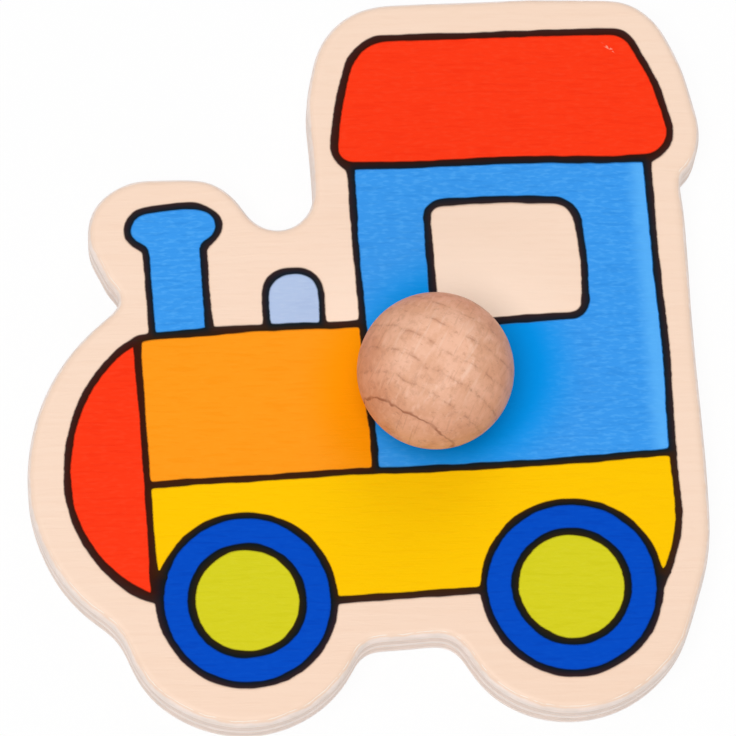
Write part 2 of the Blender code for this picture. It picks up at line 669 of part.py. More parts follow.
def make_knob(pieces, origin):
    """Turn the ball knob, seated on the print, and its dowel."""
    beech = finish(*BEECH)
    ball_centre = KNOB_FLOOR + math.sqrt(BALL_RADIUS ** 2 - SEAT_RADIUS ** 2)
    dowel_top = KNOB_FLOOR + DOWEL_IN_KNOB
    profile = knob_profile(ball_centre, dowel_top + DOWEL_CLEARANCE)
    knob = turned("knob", profile, BALL_STEPS, pieces, origin, (KNOB_X, KNOB_Y, 0.0))
    knob.data.materials.append(beech)
    dowel = cylinder("dowel", DOWEL_RADIUS, DOWEL_FLOOR, dowel_top, pieces, origin)
    chamfer = dowel.modifiers.new("chamfer", "BEVEL")
    chamfer.limit_method = "ANGLE"
    chamfer.angle_limit = DOWEL_RIM_ANGLE
    chamfer.width = DOWEL_CHAMFER
    chamfer.segments = 1
    shade_round(dowel.data)
    dowel.data.materials.append(beech)


def empty(name, location, parent, collection):
    """Return an empty that carries pieces."""
    holder = bpy.data.objects.new(name, None)
    holder.empty_display_size = BALL_RADIUS
    holder.location = location
    holder.parent = parent
    collection.objects.link(holder)
    return holder


def main():
    """Build the puzzle piece with the board's middle on the origin and its back on the ground."""
    for thing in list(bpy.data.objects):
        bpy.data.objects.remove(thing)
    scene = bpy.context.scene.collection
    pieces = bpy.data.collections.new("engine_puzzle_piece")
    cutters = bpy.data.collections.new("cutters")
    scene.children.link(pieces)
    scene.children.link(cutters)
    outline = belt(board_circles())
    middle_x = (min(x for x, _ in outline) + max(x for x, _ in outline)) / 2.0
    middle_y = (min(y for _, y in outline) + max(y for _, y in outline)) / 2.0
    origin = empty("board_origin", (-middle_x, -middle_y, 0.0), None, pieces)
    print_plate = empty("print_plate", (PRINT_SHIFT_X, PRINT_SHIFT_Y, 0.0), origin, pieces)
    make_board(outline, pieces, cutters, origin)
    make_print(pieces, print_plate)
    make_knob(pieces, origin)


if __name__ == "__main__":
    main()
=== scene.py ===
"""Looks of a wooden puzzle piece: a printed plywood steam engine with a turned ball knob.

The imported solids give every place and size. The plies, inks, outlines and knob are drawn
again here with finer edges, in the frame of the solids: the picture lies in the XY plane,
+Y runs up the picture and +Z comes out of its printed face. Sizes are in metres, and the
patterns of the finishes are measured in millimetres.
"""
import logging
import math
from collections import defaultdict
from dataclasses import dataclass, field, replace
from enum import Enum
from typing import Iterable, Optional, Union

import bmesh
import bpy
from mathutils import Matrix, Vector, geometry, noise
from mathutils.bvhtree import BVHTree


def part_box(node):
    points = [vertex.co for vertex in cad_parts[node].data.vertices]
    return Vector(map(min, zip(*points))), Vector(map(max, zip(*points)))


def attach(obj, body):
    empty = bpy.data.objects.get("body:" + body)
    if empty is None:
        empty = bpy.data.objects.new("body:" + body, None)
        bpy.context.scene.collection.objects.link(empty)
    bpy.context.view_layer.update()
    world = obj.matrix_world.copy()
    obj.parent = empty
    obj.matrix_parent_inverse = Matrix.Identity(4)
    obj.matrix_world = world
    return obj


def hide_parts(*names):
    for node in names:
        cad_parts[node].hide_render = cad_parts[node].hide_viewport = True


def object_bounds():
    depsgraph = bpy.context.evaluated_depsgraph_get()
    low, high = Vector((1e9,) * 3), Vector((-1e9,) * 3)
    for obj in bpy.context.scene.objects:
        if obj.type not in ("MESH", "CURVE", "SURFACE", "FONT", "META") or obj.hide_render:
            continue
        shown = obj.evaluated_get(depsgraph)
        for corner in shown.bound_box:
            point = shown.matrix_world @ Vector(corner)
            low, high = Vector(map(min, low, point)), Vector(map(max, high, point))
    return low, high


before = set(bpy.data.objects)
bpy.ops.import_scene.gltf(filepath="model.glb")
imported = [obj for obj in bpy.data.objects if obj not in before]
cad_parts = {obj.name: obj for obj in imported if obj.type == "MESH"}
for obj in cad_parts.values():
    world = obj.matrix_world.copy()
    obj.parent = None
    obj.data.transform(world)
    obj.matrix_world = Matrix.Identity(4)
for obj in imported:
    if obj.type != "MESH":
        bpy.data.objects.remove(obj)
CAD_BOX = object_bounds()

MM = 0.001
ROOT = "root"
WELD = 0.002 * MM
STRAIGHT = math.radians(4.0)
CURVE_START = math.radians(8.0)
SHARP_EDGE = math.radians(35.0)
SHARPENED = 0.55
SHARPEN_LIMIT = 0.3 * MM
GRAIN_DEPTH = 0.02 * MM
COAT_ROUGHNESS = 0.28
BORE_RADIUS = 3.15 * MM
LOG = logging.getLogger("engine_puzzle_piece")

BMesh = bmesh.types.BMesh
BMVert = bmesh.types.BMVert
Material = bpy.types.Material
Piece = bpy.types.Object
Place = tuple[float, float]
Triple = tuple[float, float, float]
Colour = Triple
Socket = bpy.types.NodeSocket
Value = Union[float, Socket]


def srgb(red: int, green: int, blue: int) -> Colour:
    """Return a linear colour for one written in 0 to 255 display values."""
    channels = []
    for value in (red, green, blue):
        share = value / 255.0
        channels.append(share / 12.92 if share <= 0.04045 else ((share + 0.055) / 1.055) ** 2.4)
    return tuple(channels)


def axis_of(node: str) -> Place:
    """Return where the upright axis of a turned solid stands."""
    low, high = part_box(node)
    return (low[0] + high[0]) / 2.0, (low[1] + high[1]) / 2.0


# Node craft


@dataclass(frozen=True)
class Ramp:
    """An easing from start to end while a value goes from low to high."""

    low: float
    high: float
    start: float = 0.0
    end: float = 1.0


@dataclass(frozen=True)
class Cloud:
    """An uneven pattern: its noise, and the ramp that gives it its contrast."""

    scale: float
    detail: float = 2.0
    rough: float = 0.5
    ramp: Optional[Ramp] = None


class NodeCraft:
    """Lays and links the nodes of one tree."""

    def __init__(self, tree: bpy.types.NodeTree) -> None:
        """Take the tree."""
        self.tree = tree

    def add(self, kind: str, **settings: str) -> bpy.types.Node:
        """Add a node and set its properties."""
        node = self.tree.nodes.new(kind)
        for name, value in settings.items():
            setattr(node, name, value)
        return node

    def feed(self, socket: Socket, value: Union[Value, Colour]) -> None:
        """Link or set one input socket."""
        if isinstance(value, bpy.types.NodeSocket):
            self.tree.links.new(value, socket)
        elif isinstance(value, tuple) and len(value) == 3 and socket.type == "RGBA":
            socket.default_value = (*value, 1.0)
        else:
            socket.default_value = value

    def place(
        self, shift: Iterable[float] = (0, 0, 0), turn: float = 0.0, scale: Triple = (1, 1, 1)
    ) -> Socket:
        """Return Object coordinates in millimetres, shifted, turned about Z and stretched.

        Args:
            shift: The point, in metres, that becomes the pattern's origin.
            turn: The angle of the pattern's X axis.
            scale: The stretch of each turned axis.

        Returns:
            The vector socket.
        """
        coordinates = self.add("ShaderNodeTexCoord").outputs["Object"]
        centred = self.add("ShaderNodeMapping", vector_type="POINT")
        self.feed(centred.inputs["Vector"], coordinates)
        centred.inputs["Location"].default_value = tuple(-part / MM for part in Vector(shift))
        centred.inputs["Scale"].default_value = (1.0 / MM,) * 3
        turned = self.add("ShaderNodeMapping", vector_type="TEXTURE")
        self.feed(turned.inputs["Vector"], centred.outputs["Vector"])
        turned.inputs["Rotation"].default_value = (0.0, 0.0, turn)
        turned.inputs["Scale"].default_value = tuple(1.0 / part for part in scale)
        return turned.outputs["Vector"]

    def math(self, operation: str, first: Value, second: Value = 0.0, third: Value = 0.0) -> Socket:
        """Return the result of a Math node."""
        node = self.add("ShaderNodeMath", operation=operation)
        for socket, value in zip(node.inputs, (first, second, third)):
            self.feed(socket, value)
        return node.outputs[0]

    def times(self, first: Value, second: Value) -> Socket:
        """Return a product."""
        return self.math("MULTIPLY", first, second)

    def plus(self, first: Value, second: Value) -> Socket:
        """Return a sum."""
        return self.math("ADD", first, second)

    def minus(self, first: Value, second: Value) -> Socket:
        """Return a difference."""
        return self.math("SUBTRACT", first, second)

    def unsigned(self, value: Value) -> Socket:
        """Return a value without its sign."""
        return self.math("ABSOLUTE", value)

    def times_plus(self, value: Value, factor: Value, added: Value) -> Socket:
        """Return a value times a factor plus another value."""
        return self.math("MULTIPLY_ADD", value, factor, added)

    def parts(self, vector: Socket) -> tuple[Socket, Socket, Socket]:
        """Return the three parts of a vector."""
        node = self.add("ShaderNodeSeparateXYZ")
        self.feed(node.inputs[0], vector)
        return node.outputs[0], node.outputs[1], node.outputs[2]

    def stretched(self, first: Socket, second: Socket, third: Value, scale: Place) -> Socket:
        """Return a vector made of three parts, the first two of them stretched."""
        node = self.add("ShaderNodeCombineXYZ")
        parts = (self.times(first, scale[0]), self.times(second, scale[1]), third)
        for socket, value in zip(node.inputs, parts):
            self.feed(socket, value)
        return node.outputs[0]

    def away(self, foot: Place, turn: float = 0.0) -> tuple[Socket, Socket, Socket]:
        """Return the level distance from an upright axis, and the turned X and the Z from its foot."""
        x, y, z = self.parts(self.place((*foot, 0.0), turn))
        return self.math("SQRT", self.plus(self.times(x, x), self.times(y, y))), x, z

    def between(self, value: Value, ramp: Ramp) -> Socket:
        """Return a value eased by a ramp."""
        node = self.add("ShaderNodeMapRange", interpolation_type="SMOOTHSTEP")
        self.feed(node.inputs["Value"], value)
        numbers = (ramp.low, ramp.high, ramp.start, ramp.end)
        for name, number in zip(("From Min", "From Max", "To Min", "To Max"), numbers):
            node.inputs[name].default_value = number
        return node.outputs["Result"]

    def cloud(self, vector: Socket, cloud: Cloud) -> Socket:
        """Return an uneven pattern's value."""
        node = self.add("ShaderNodeTexNoise")
        self.feed(node.inputs["Vector"], vector)
        node.inputs["Scale"].default_value = cloud.scale
        node.inputs["Detail"].default_value = cloud.detail
        node.inputs["Roughness"].default_value = cloud.rough
        return self.between(node.outputs["Fac"], cloud.ramp) if cloud.ramp else node.outputs["Fac"]

    def blend(
        self, share: Value, first: Union[Socket, Colour], second: Union[Socket, Colour], how: str = "MIX"
    ) -> Socket:
        """Return one colour mixed with another."""
        node = self.add("ShaderNodeMix", data_type="RGBA", blend_type=how)
        self.feed(node.inputs["Factor"], share)
        self.feed(node.inputs[6], first)
        self.feed(node.inputs[7], second)
        return node.outputs[2]

    def seen_directly(self) -> Socket:
        """Return 1 for rays that show the background: straight, mirrored or let through."""
        paths = self.add("ShaderNodeLightPath").outputs
        both = self.math("MAXIMUM", paths["Is Camera Ray"], paths["Is Glossy Ray"])
        return self.math("MAXIMUM", both, paths["Is Transmission Ray"])


class SurfaceCraft(NodeCraft):
    """Lays and links the nodes of one material, from its patterns to its Principled shader."""

    def __init__(self, name: str) -> None:
        """Start a material whose Principled shader is ready.

        Args:
            name: The material's name.
        """
        self.material = bpy.data.materials.new(name)
        self.material.use_nodes = True
        super().__init__(self.material.node_tree)
        self.shader = self.tree.nodes["Principled BSDF"]

    def surface(
        self, colour: Union[Socket, Colour], roughness: float, varnish: float, specular: float = 0.3
    ) -> None:
        """Set the shader's colour, roughness, clear coat and specular level."""
        inputs = self.shader.inputs
        self.feed(inputs["Base Color"], colour)
        inputs["Roughness"].default_value = roughness
        inputs["Coat Weight"].default_value = varnish
        inputs["Coat Roughness"].default_value = COAT_ROUGHNESS
        inputs["Specular IOR Level"].default_value = specular

    def relief(self, height: Socket, strength: float, depth: float = GRAIN_DEPTH) -> None:
        """Give the shader a bump of a depth in metres."""
        node = self.add("ShaderNodeBump")
        node.inputs["Strength"].default_value = strength
        node.inputs["Distance"].default_value = depth
        self.feed(node.inputs["Height"], height)
        self.feed(self.shader.inputs["Normal"], node.outputs["Normal"])


# Finishes


class Lay(Enum):
    """The way a ply's grain runs in the board."""

    ALONG = math.radians(-3.0)
    ACROSS = math.radians(87.0)


@dataclass(frozen=True)
class Grain:
    """The grain of the veneer: soft streaks and short dark flecks, as solid patterns."""

    centre: Triple = (0.0, -30.0 * MM, 0.0)
    bend_stretch: Triple = (0.03, 0.05, 0.05)
    bend: Cloud = Cloud(1.0, 1.0)
    swing: float = 2.5
    streak_stretch: Place = (0.05, 1.2)
    streaks: Cloud = Cloud(1.0, 2.0, 0.55, Ramp(0.3, 0.72))
    fleck_stretch: Place = (0.25, 2.0)
    flecks: Cloud = Cloud(1.0, 1.0, 0.5, Ramp(0.5, 0.7))

    def drawn(self, craft: NodeCraft, lay: Lay) -> tuple[Socket, Socket]:
        """Return the streaks and the flecks, each from 0 to 1.

        Args:
            craft: The material that takes the nodes.
            lay: The way the grain runs.

        Returns:
            The streak value and the fleck value.
        """
        bend = craft.cloud(craft.place(self.centre, lay.value, self.bend_stretch), self.bend)
        swing = craft.times(craft.minus(bend, 0.5), self.swing)
        x, y, z = craft.parts(craft.place(self.centre, lay.value))
        lifted = craft.plus(y, swing)
        streaks = craft.cloud(craft.stretched(x, lifted, z, self.streak_stretch), self.streaks)
        flecks = craft.cloud(craft.stretched(x, lifted, z, self.fleck_stretch), self.flecks)
        return streaks, flecks


@dataclass(frozen=True)
class VeneerFinish:
    """Sanded and varnished pale plywood, a little paler round the knob: painted light there, against the
    shade the knob casts.
    """

    name: str
    light: Colour = srgb(248, 219, 197)
    dark: Colour = srgb(238, 202, 175)
    edge: Colour = srgb(252, 235, 226)
    dull_edge: Colour = srgb(236, 222, 213)
    # Painted highlight: the colour of the thin bright line at the top of the rounded rim.
    rim_highlight: Colour = srgb(254, 240, 228)
    # Painted light: the paler colour laid round the knob, against the knob's shade, and how far it reaches.
    painted_knob_shading: Colour = srgb(255, 230, 209)
    knob_at: Optional[Place] = None
    knob_shading_reach: Ramp = Ramp(9.0, 26.0, 1.0, 0.0)
    lay: Lay = Lay.ALONG
    streak_show: float = 0.16
    fleck_show: float = 0.128
    cloud_show: float = 0.22
    cloud_turn: float = 0.3
    cloud_stretch: Triple = (0.05, 0.09, 0.05)
    clouds: Cloud = Cloud(1.0)
    # Painted shade: the veneer darkens towards the bottom of the picture.
    painted_shade_low_down: Ramp = Ramp(-45.0, -15.0, 0.2, 0.0)
    rim_waver: Cloud = Cloud(0.4, 2.0, 0.6)
    waver_swing: float = 1.6
    waver_least: float = 0.2
    wall_tilt: Ramp = Ramp(0.15, 0.4)
    # Painted highlight along the rim: where on the rounding it lies, its width, its patches and the side it
    # shows on.
    highlight_tilt: float = 0.11
    highlight_width: Ramp = Ramp(0.01, 0.045, 1.0, 0.0)
    highlight_patch_shift: Triple = (9.0 * MM, 0.0, 0.0)
    wear_and_highlight_patches: Cloud = Cloud(0.5, 3.0, 0.6, Ramp(0.4, 0.55, 0.1, 0.9))
    highlight_side: Ramp = Ramp(-0.3, -0.08, 1.0, 0.15)
    edge_stretch: Triple = (0.5, 0.5, 1.6)
    edge_patches: Cloud = Cloud(0.6, 4.0, 0.65, Ramp(0.38, 0.64))
    dull_show: float = 0.7
    edge_streak_show: float = 0.2

    def material(self) -> Material:
        """Return the veneer's material."""
        craft = SurfaceCraft(self.name)
        streaks, flecks = Grain().drawn(craft, self.lay)
        clouds = craft.cloud(craft.place(turn=self.cloud_turn, scale=self.cloud_stretch), self.clouds)
        # The tone: clouds, painted shade towards the bottom, then the streaks.
        _, low, _ = craft.parts(craft.place())
        tone = craft.times_plus(clouds, self.cloud_show, craft.between(low, self.painted_shade_low_down))
        tone = craft.times_plus(streaks, self.streak_show, tone)
        wood = craft.blend(tone, self.light, self.dark)
        wood = craft.blend(craft.times(flecks, self.fleck_show), wood, self.dark)
        # Painted light round the knob, against the shade that the knob casts.
        if self.knob_at:
            wood = craft.blend(craft.between(craft.away(self.knob_at)[0], self.knob_shading_reach), wood, self.painted_knob_shading)
        wall, rim_highlight = self.rim(craft)
        wood = craft.blend(wall, wood, self.sawn(craft, streaks))
        # Painted highlight along the rim.
        wood = craft.blend(rim_highlight, wood, self.rim_highlight)
        craft.surface(wood, roughness=0.42, varnish=0.12)
        craft.relief(craft.plus(streaks, flecks), strength=0.5)
        return craft.material

    def rim(self, craft: NodeCraft) -> tuple[Socket, Socket]:
        """Return where the wood turns over into its wall, and the painted highlight before it: a thin broken
        bright line, mostly on rims that face down the picture.
        """
        _, facing, upright = craft.parts(craft.add("ShaderNodeNewGeometry").outputs["Normal"])
        waver = craft.cloud(craft.place(), self.rim_waver)
        tilt = craft.minus(1.0, craft.unsigned(upright))
        tilt = craft.times(tilt, craft.times_plus(waver, self.waver_swing, self.waver_least))
        wear_and_highlight_patches = craft.cloud(craft.place(self.highlight_patch_shift), self.wear_and_highlight_patches)
        wear_and_highlight_patches = craft.times(wear_and_highlight_patches, craft.between(facing, self.highlight_side))
        rim_highlight = craft.between(craft.unsigned(craft.minus(tilt, self.highlight_tilt)), self.highlight_width)
        return craft.between(tilt, self.wall_tilt), craft.times(rim_highlight, wear_and_highlight_patches)

    def sawn(self, craft: NodeCraft, streaks: Socket) -> Socket:
        """Return the colour of the sawn and sanded wall: a pinkish edge with duller patches."""
        patches = craft.cloud(craft.place(scale=self.edge_stretch), self.edge_patches)
        edge = craft.blend(craft.times(patches, self.dull_show), self.edge, self.dull_edge)
        return craft.blend(craft.times(streaks, self.edge_streak_show), edge, self.dark)


@dataclass(frozen=True)
class GlueFinish:
    """The thin dark glue line between two plies."""

    name: str = "glue_line"
    colour: Colour = srgb(198, 158, 138)
    wear_and_highlight_patches: Colour = srgb(230, 206, 192)
    mottle: Cloud = Cloud(0.7, 3.0)

    def material(self) -> Material:
        """Return the glue's material."""
        craft = SurfaceCraft(self.name)
        glue = craft.blend(craft.cloud(craft.place(), self.mottle), self.colour, self.wear_and_highlight_patches)
        craft.surface(glue, roughness=0.5, varnish=0.1)
        return craft.material


@dataclass(frozen=True)
class Misprint:
    """A few small places in a line, where the print has missed the wood."""

    at: Place
    bare: Colour = srgb(255, 176, 150)
    show: float = 0.6
    turn: float = math.radians(-36.0)
    length: Ramp = Ramp(0.9, 1.4, 1.0, 0.0)
    width: Ramp = Ramp(0.08, 0.22, 1.0, 0.0)
    torn_turn: float = math.radians(-12.0)
    torn_stretch: Triple = (1.6, 1.6, 1.0)
    torn: Cloud = Cloud(1.0, 1.0, 0.5, Ramp(0.42, 0.52))

    def laid(self, craft: NodeCraft, ink: Socket) -> Socket:
        """Return the ink with its missed places."""
        spot = (*self.at, 0.0)
        x, y, _ = craft.parts(craft.place(spot, self.turn))
        near = craft.between(craft.unsigned(x), self.length)
        line = craft.between(craft.unsigned(y), self.width)
        torn = craft.cloud(craft.place(spot, self.torn_turn, self.torn_stretch), self.torn)
        missed = craft.times(torn, craft.times(near, line))
        return craft.blend(craft.times(missed, self.show), ink, self.bare)


@dataclass(frozen=True)
class InkFinish:
    """A coloured print on veneer, through which the grain shows. Painted shade deepens it round the knob."""

    name: str
    colour: Colour
    deep: Colour
    # Paler ink where the print is thin; also the colour of the painted sheen.
    pale: Colour
    grain_show: float = 0.5
    pale_show: float = 0.3
    streak_share: float = 0.3
    thin_stretch: Triple = (0.85, 2.5, 1.0)
    thin: Cloud = Cloud(1.0, 1.5)
    thin_levels: tuple[float, float] = (0.45, 0.7)
    # Painted shade: the deeper colour laid round the knob, its centre and its reach.
    painted_knob_shading: Colour = (0.0, 0.0, 0.0)
    shading_centre: Optional[Place] = None
    knob_shading_reach: Ramp = Ramp(11.5, 18.0, 1.0, 0.0)
    # Painted sheen: where a paler band begins along the rear border, how it wavers and how it grows.
    sheen_from: Optional[float] = None
    sheen_waver: Cloud = Cloud(0.5)
    sheen_reach: Ramp = Ramp(0.0, 2.4, 0.0, 0.7)
    misprint: Optional[Misprint] = None
    lends: Optional[Colour] = None

    def material(self) -> Material:
        """Return the ink's material."""
        craft = SurfaceCraft(self.name)
        streaks, flecks = Grain().drawn(craft, Lay.ALONG)
        thin = craft.cloud(craft.place(turn=Lay.ALONG.value, scale=self.thin_stretch), self.thin)
        lit = craft.between(thin, Ramp(*self.thin_levels, 0.0, self.pale_show))
        ink = craft.blend(lit, self.colour, self.pale)
        ink = craft.blend(craft.times(flecks, self.grain_show), ink, self.deep)
        ink = craft.blend(craft.times(streaks, self.streak_share * self.grain_show), ink, self.deep)
        if self.misprint:
            ink = self.misprint.laid(craft, ink)
        # Painted sheen along the rear border.
        if self.sheen_from is not None:
            ink = craft.blend(self.painted_sheen(craft), ink, self.pale)
        # Painted shade round the knob.
        if self.shading_centre:
            ink = craft.blend(craft.between(craft.away(self.shading_centre)[0], self.knob_shading_reach), ink, self.painted_knob_shading)
        craft.surface(ink, roughness=0.45, varnish=0.0, specular=0.02)
        craft.relief(craft.plus(streaks, flecks), strength=0.45)
        return craft.material

    def painted_sheen(self, craft: NodeCraft) -> Socket:
        """Return where a painted sheen pales the ink along its rear border."""
        x, _, _ = craft.parts(craft.place((self.sheen_from, 0.0, 0.0)))
        return craft.between(craft.plus(x, craft.cloud(craft.place(), self.sheen_waver)), self.sheen_reach)


@dataclass(frozen=True)
class OutlineFinish:
    """The black outline ink: it takes a tint from the colours beside it and thins out at its borders."""

    name: str = "black_outline_ink"
    colour: Colour = srgb(10, 19, 10)
    passes: Colour = (0.053, 0.0185, 0.029)
    beside: str = "colour_beside"
    across: str = "colour_across"
    lend_nearer: float = 0.5
    lend_least: float = 0.3
    streak_pass: float = 0.6
    least_pass: float = 0.7
    soak: float = 0.3
    border: Ramp = Ramp(0.0, 1.0, 1.0, 0.0)
    falloff: float = 1.6
    thinnest: float = 0.75

    def material(self) -> Material:
        """Return the outline's material, which reads the colours at its two sides from attributes."""
        craft = SurfaceCraft(self.name)
        beside = craft.add("ShaderNodeAttribute", attribute_name=self.beside).outputs
        across = craft.add("ShaderNodeAttribute", attribute_name=self.across).outputs
        streaks, flecks = Grain().drawn(craft, Lay.ALONG)
        through = craft.blend(1.0, across["Color"], self.passes, "MULTIPLY")
        share = craft.times_plus(streaks, self.streak_pass, self.least_pass)
        ink = craft.blend(share, self.colour, through, "ADD")
        body = craft.times_plus(craft.minus(streaks, 0.5), self.soak, beside["Alpha"])
        thin = craft.math("POWER", craft.between(body, self.border), self.falloff)
        ink = craft.blend(craft.times(thin, self.thinnest), ink, beside["Color"])
        craft.surface(ink, roughness=0.45, varnish=0.0, specular=0.02)
        craft.relief(craft.plus(streaks, flecks), strength=0.4)
        return craft.material

    def lent(self, nearer: Colour, others: Iterable[Colour]) -> Colour:
        """Return what the sides of a line lend to its ink: the nearer one's colour, and what all share."""
        return tuple(self.lend_least * min(met) + self.lend_nearer * met[0] for met in zip(nearer, *others))


@dataclass(frozen=True)
class BeechFinish:
    """Turned beech seen on its end grain: rings, rays across them and pores along them."""

    axis: Place
    name: str = "turned_beech"
    base: Colour = srgb(240, 187, 158)
    warm: Colour = srgb(222, 164, 130)
    line: Colour = srgb(160, 98, 68)
    # Pale ray colour; also the colour of the painted highlight on the crown.
    pale: Colour = srgb(246, 204, 180)
    # Painted shade: multiplied into the ball's flanks and its left side.
    painted_flank_shade: Colour = (0.93, 0.82, 0.74)
    facing: float = math.radians(59.0)
    wander: Cloud = Cloud(0.09)
    wander_swing: float = 2.2
    jitter: Cloud = Cloud(0.7, 1.0)
    jitter_swing: float = 0.8
    bow: float = 0.004
    ring_pitch: float = 2.82
    first_ring: float = -7.5
    ring_soft: Ramp = Ramp(0.02, 0.22, 0.28, 0.0)
    ring_sharp: Ramp = Ramp(0.01, 0.07, 0.34, 0.0)
    ring_breaks: Cloud = Cloud(0.6, 5.0, 0.75, Ramp(0.42, 0.64, 0.1, 0.8))
    strong_ring: Ramp = Ramp(0.01, 0.07, 1.0, 0.0)
    strong_breaks: Cloud = Cloud(0.7, 2.0, 0.5, Ramp(0.35, 0.65, 0.4, 0.85))
    ray_stretch: Place = (0.28, 2.1)
    dark_rays: Cloud = Cloud(1.0, 1.0, 0.5, Ramp(0.62, 0.72))
    pale_rays: Cloud = Cloud(0.8, 2.0, 0.6, Ramp(0.52, 0.7))
    pore_stretch: Place = (2.6, 0.9)
    pores: Cloud = Cloud(1.0, 2.0, 0.6, Ramp(0.62, 0.74))
    mottle: Cloud = Cloud(0.28, 5.0, 0.7, Ramp(0.36, 0.64))
    smudges: Cloud = Cloud(0.75, 3.0, 0.7, Ramp(0.5, 0.68))
    mottle_show: float = 0.75
    smudge_show: float = 0.2
    pale_ray_show: float = 0.35
    dark_ray_show: float = 0.17
    pore_show: float = 0.26
    # Painted shade on the ball: how it grows as the surface turns from straight up, and on its left side.
    shade_away_from_top: Ramp = Ramp(0.45, 0.95, 1.0, 0.0)
    shade_on_left: Ramp = Ramp(-0.8, -0.45, 0.7, 0.0)
    depth: float = 0.03 * MM
    # Painted highlight on the crown: the turn, radius, waver, width, breaks, side and height of its arc.
    crown_turn: float = math.radians(-40.0)
    crown_radius: float = 3.8
    crown_swing: float = 1.0
    crown_waver: Cloud = Cloud(0.5, 3.0, 0.7)
    crown_width: Ramp = Ramp(0.05, 0.5, 0.5, 0.0)
    crown_breaks: Cloud = Cloud(1.1, 4.0, 0.7, Ramp(0.42, 0.6))
    crown_side: Ramp = Ramp(0.5, 3.0)
    crown_level: Ramp = Ramp(18.0, 22.0)

    def material(self) -> Material:
        """Return the beech's material."""
        craft = SurfaceCraft(self.name)
        solid = craft.place((*self.axis, 0.0), self.facing)
        across, along, up = craft.parts(solid)
        bent = craft.plus(across, craft.times(craft.times(along, along), self.bow))
        for cloud, swing in ((self.wander, self.wander_swing), (self.jitter, self.jitter_swing)):
            bent = craft.times_plus(craft.minus(craft.cloud(solid, cloud), 0.5), swing, bent)
        rings = self.rings(craft, solid, bent)
        dark_rays = craft.cloud(craft.stretched(bent, along, 0.0, self.ray_stretch), self.dark_rays)
        pale_rays = craft.cloud(craft.stretched(bent, along, up, self.ray_stretch), self.pale_rays)
        pores = craft.cloud(craft.stretched(bent, along, up, self.pore_stretch), self.pores)
        wood = self.base
        for pattern, show, colour in (
            (craft.cloud(solid, self.mottle), self.mottle_show, self.warm),
            (craft.cloud(solid, self.smudges), self.smudge_show, self.line),
            (pale_rays, self.pale_ray_show, self.pale),
            (dark_rays, self.dark_ray_show, self.line),
            (pores, self.pore_show, self.line),
        ):
            wood = craft.blend(craft.times(pattern, show), wood, colour)
        wood = craft.blend(rings, wood, self.line)
        # Painted highlight on the crown.
        wood = craft.blend(self.crown(craft, solid), wood, self.pale)
        # Painted shade: the ball darkens away from its top and on its left side.
        side, _, upright = craft.parts(craft.add("ShaderNodeNewGeometry").outputs["Normal"])
        wood = craft.blend(craft.between(upright, self.shade_away_from_top), wood, self.painted_flank_shade, "MULTIPLY")
        wood = craft.blend(craft.between(side, self.shade_on_left), wood, self.painted_flank_shade, "MULTIPLY")
        craft.surface(wood, roughness=0.5, varnish=0.05, specular=0.2)
        craft.relief(craft.minus(pale_rays, craft.plus(rings, pores)), strength=0.5, depth=self.depth)
        return craft.material

    def rings(self, craft: NodeCraft, solid: Socket, bent: Socket) -> Socket:
        """Return the year rings: soft broken lines, one of them strong."""
        years = craft.math("DIVIDE", craft.minus(bent, self.first_ring), self.ring_pitch)
        away = craft.unsigned(craft.minus(craft.math("FRACT", craft.plus(years, 0.5)), 0.5))
        lines = craft.plus(craft.between(away, self.ring_soft), craft.between(away, self.ring_sharp))
        weak = craft.times(lines, craft.cloud(solid, self.ring_breaks))
        strong = craft.between(craft.unsigned(years), self.strong_ring)
        return craft.math("MAXIMUM", weak, craft.times(strong, craft.cloud(solid, self.strong_breaks)))

    def crown(self, craft: NodeCraft, solid: Socket) -> Socket:
        """Return the painted highlight: a paler arc at the lower right edge of the crown's flat."""
        away, x, up = craft.away(self.axis, self.crown_turn)
        uneven = craft.times_plus(craft.cloud(solid, self.crown_waver), self.crown_swing, self.crown_radius)
        arc = craft.between(craft.unsigned(craft.minus(away, uneven)), self.crown_width)
        arc = craft.times(arc, craft.cloud(solid, self.crown_breaks))
        arc = craft.times(arc, craft.between(x, self.crown_side))
        return craft.times(arc, craft.between(up, self.crown_level))


@dataclass(frozen=True)
class GroundFinish:
    """Pale floor whose picture is white, with part of the object's shadow kept."""

    name: str = "pale_floor"
    colour: Colour = (0.93, 0.93, 0.93)
    roughness: float = 0.9
    white_share: float = 0.93

    def material(self) -> Material:
        """Return the floor's material."""
        craft = SurfaceCraft(self.name)
        craft.feed(craft.shader.inputs["Base Color"], self.colour)
        craft.shader.inputs["Roughness"].default_value = self.roughness
        craft.shader.inputs["Specular IOR Level"].default_value = 0.0
        white = craft.add("ShaderNodeEmission")
        both = craft.add("ShaderNodeMixShader")
        seen = craft.times(craft.seen_directly(), self.white_share)
        for socket, value in zip(both.inputs, (seen, craft.shader.outputs[0], white.outputs[0])):
            craft.feed(socket, value)
        craft.feed(craft.tree.nodes["Material Output"].inputs["Surface"], both.outputs[0])
        return craft.material


# Mesh craft


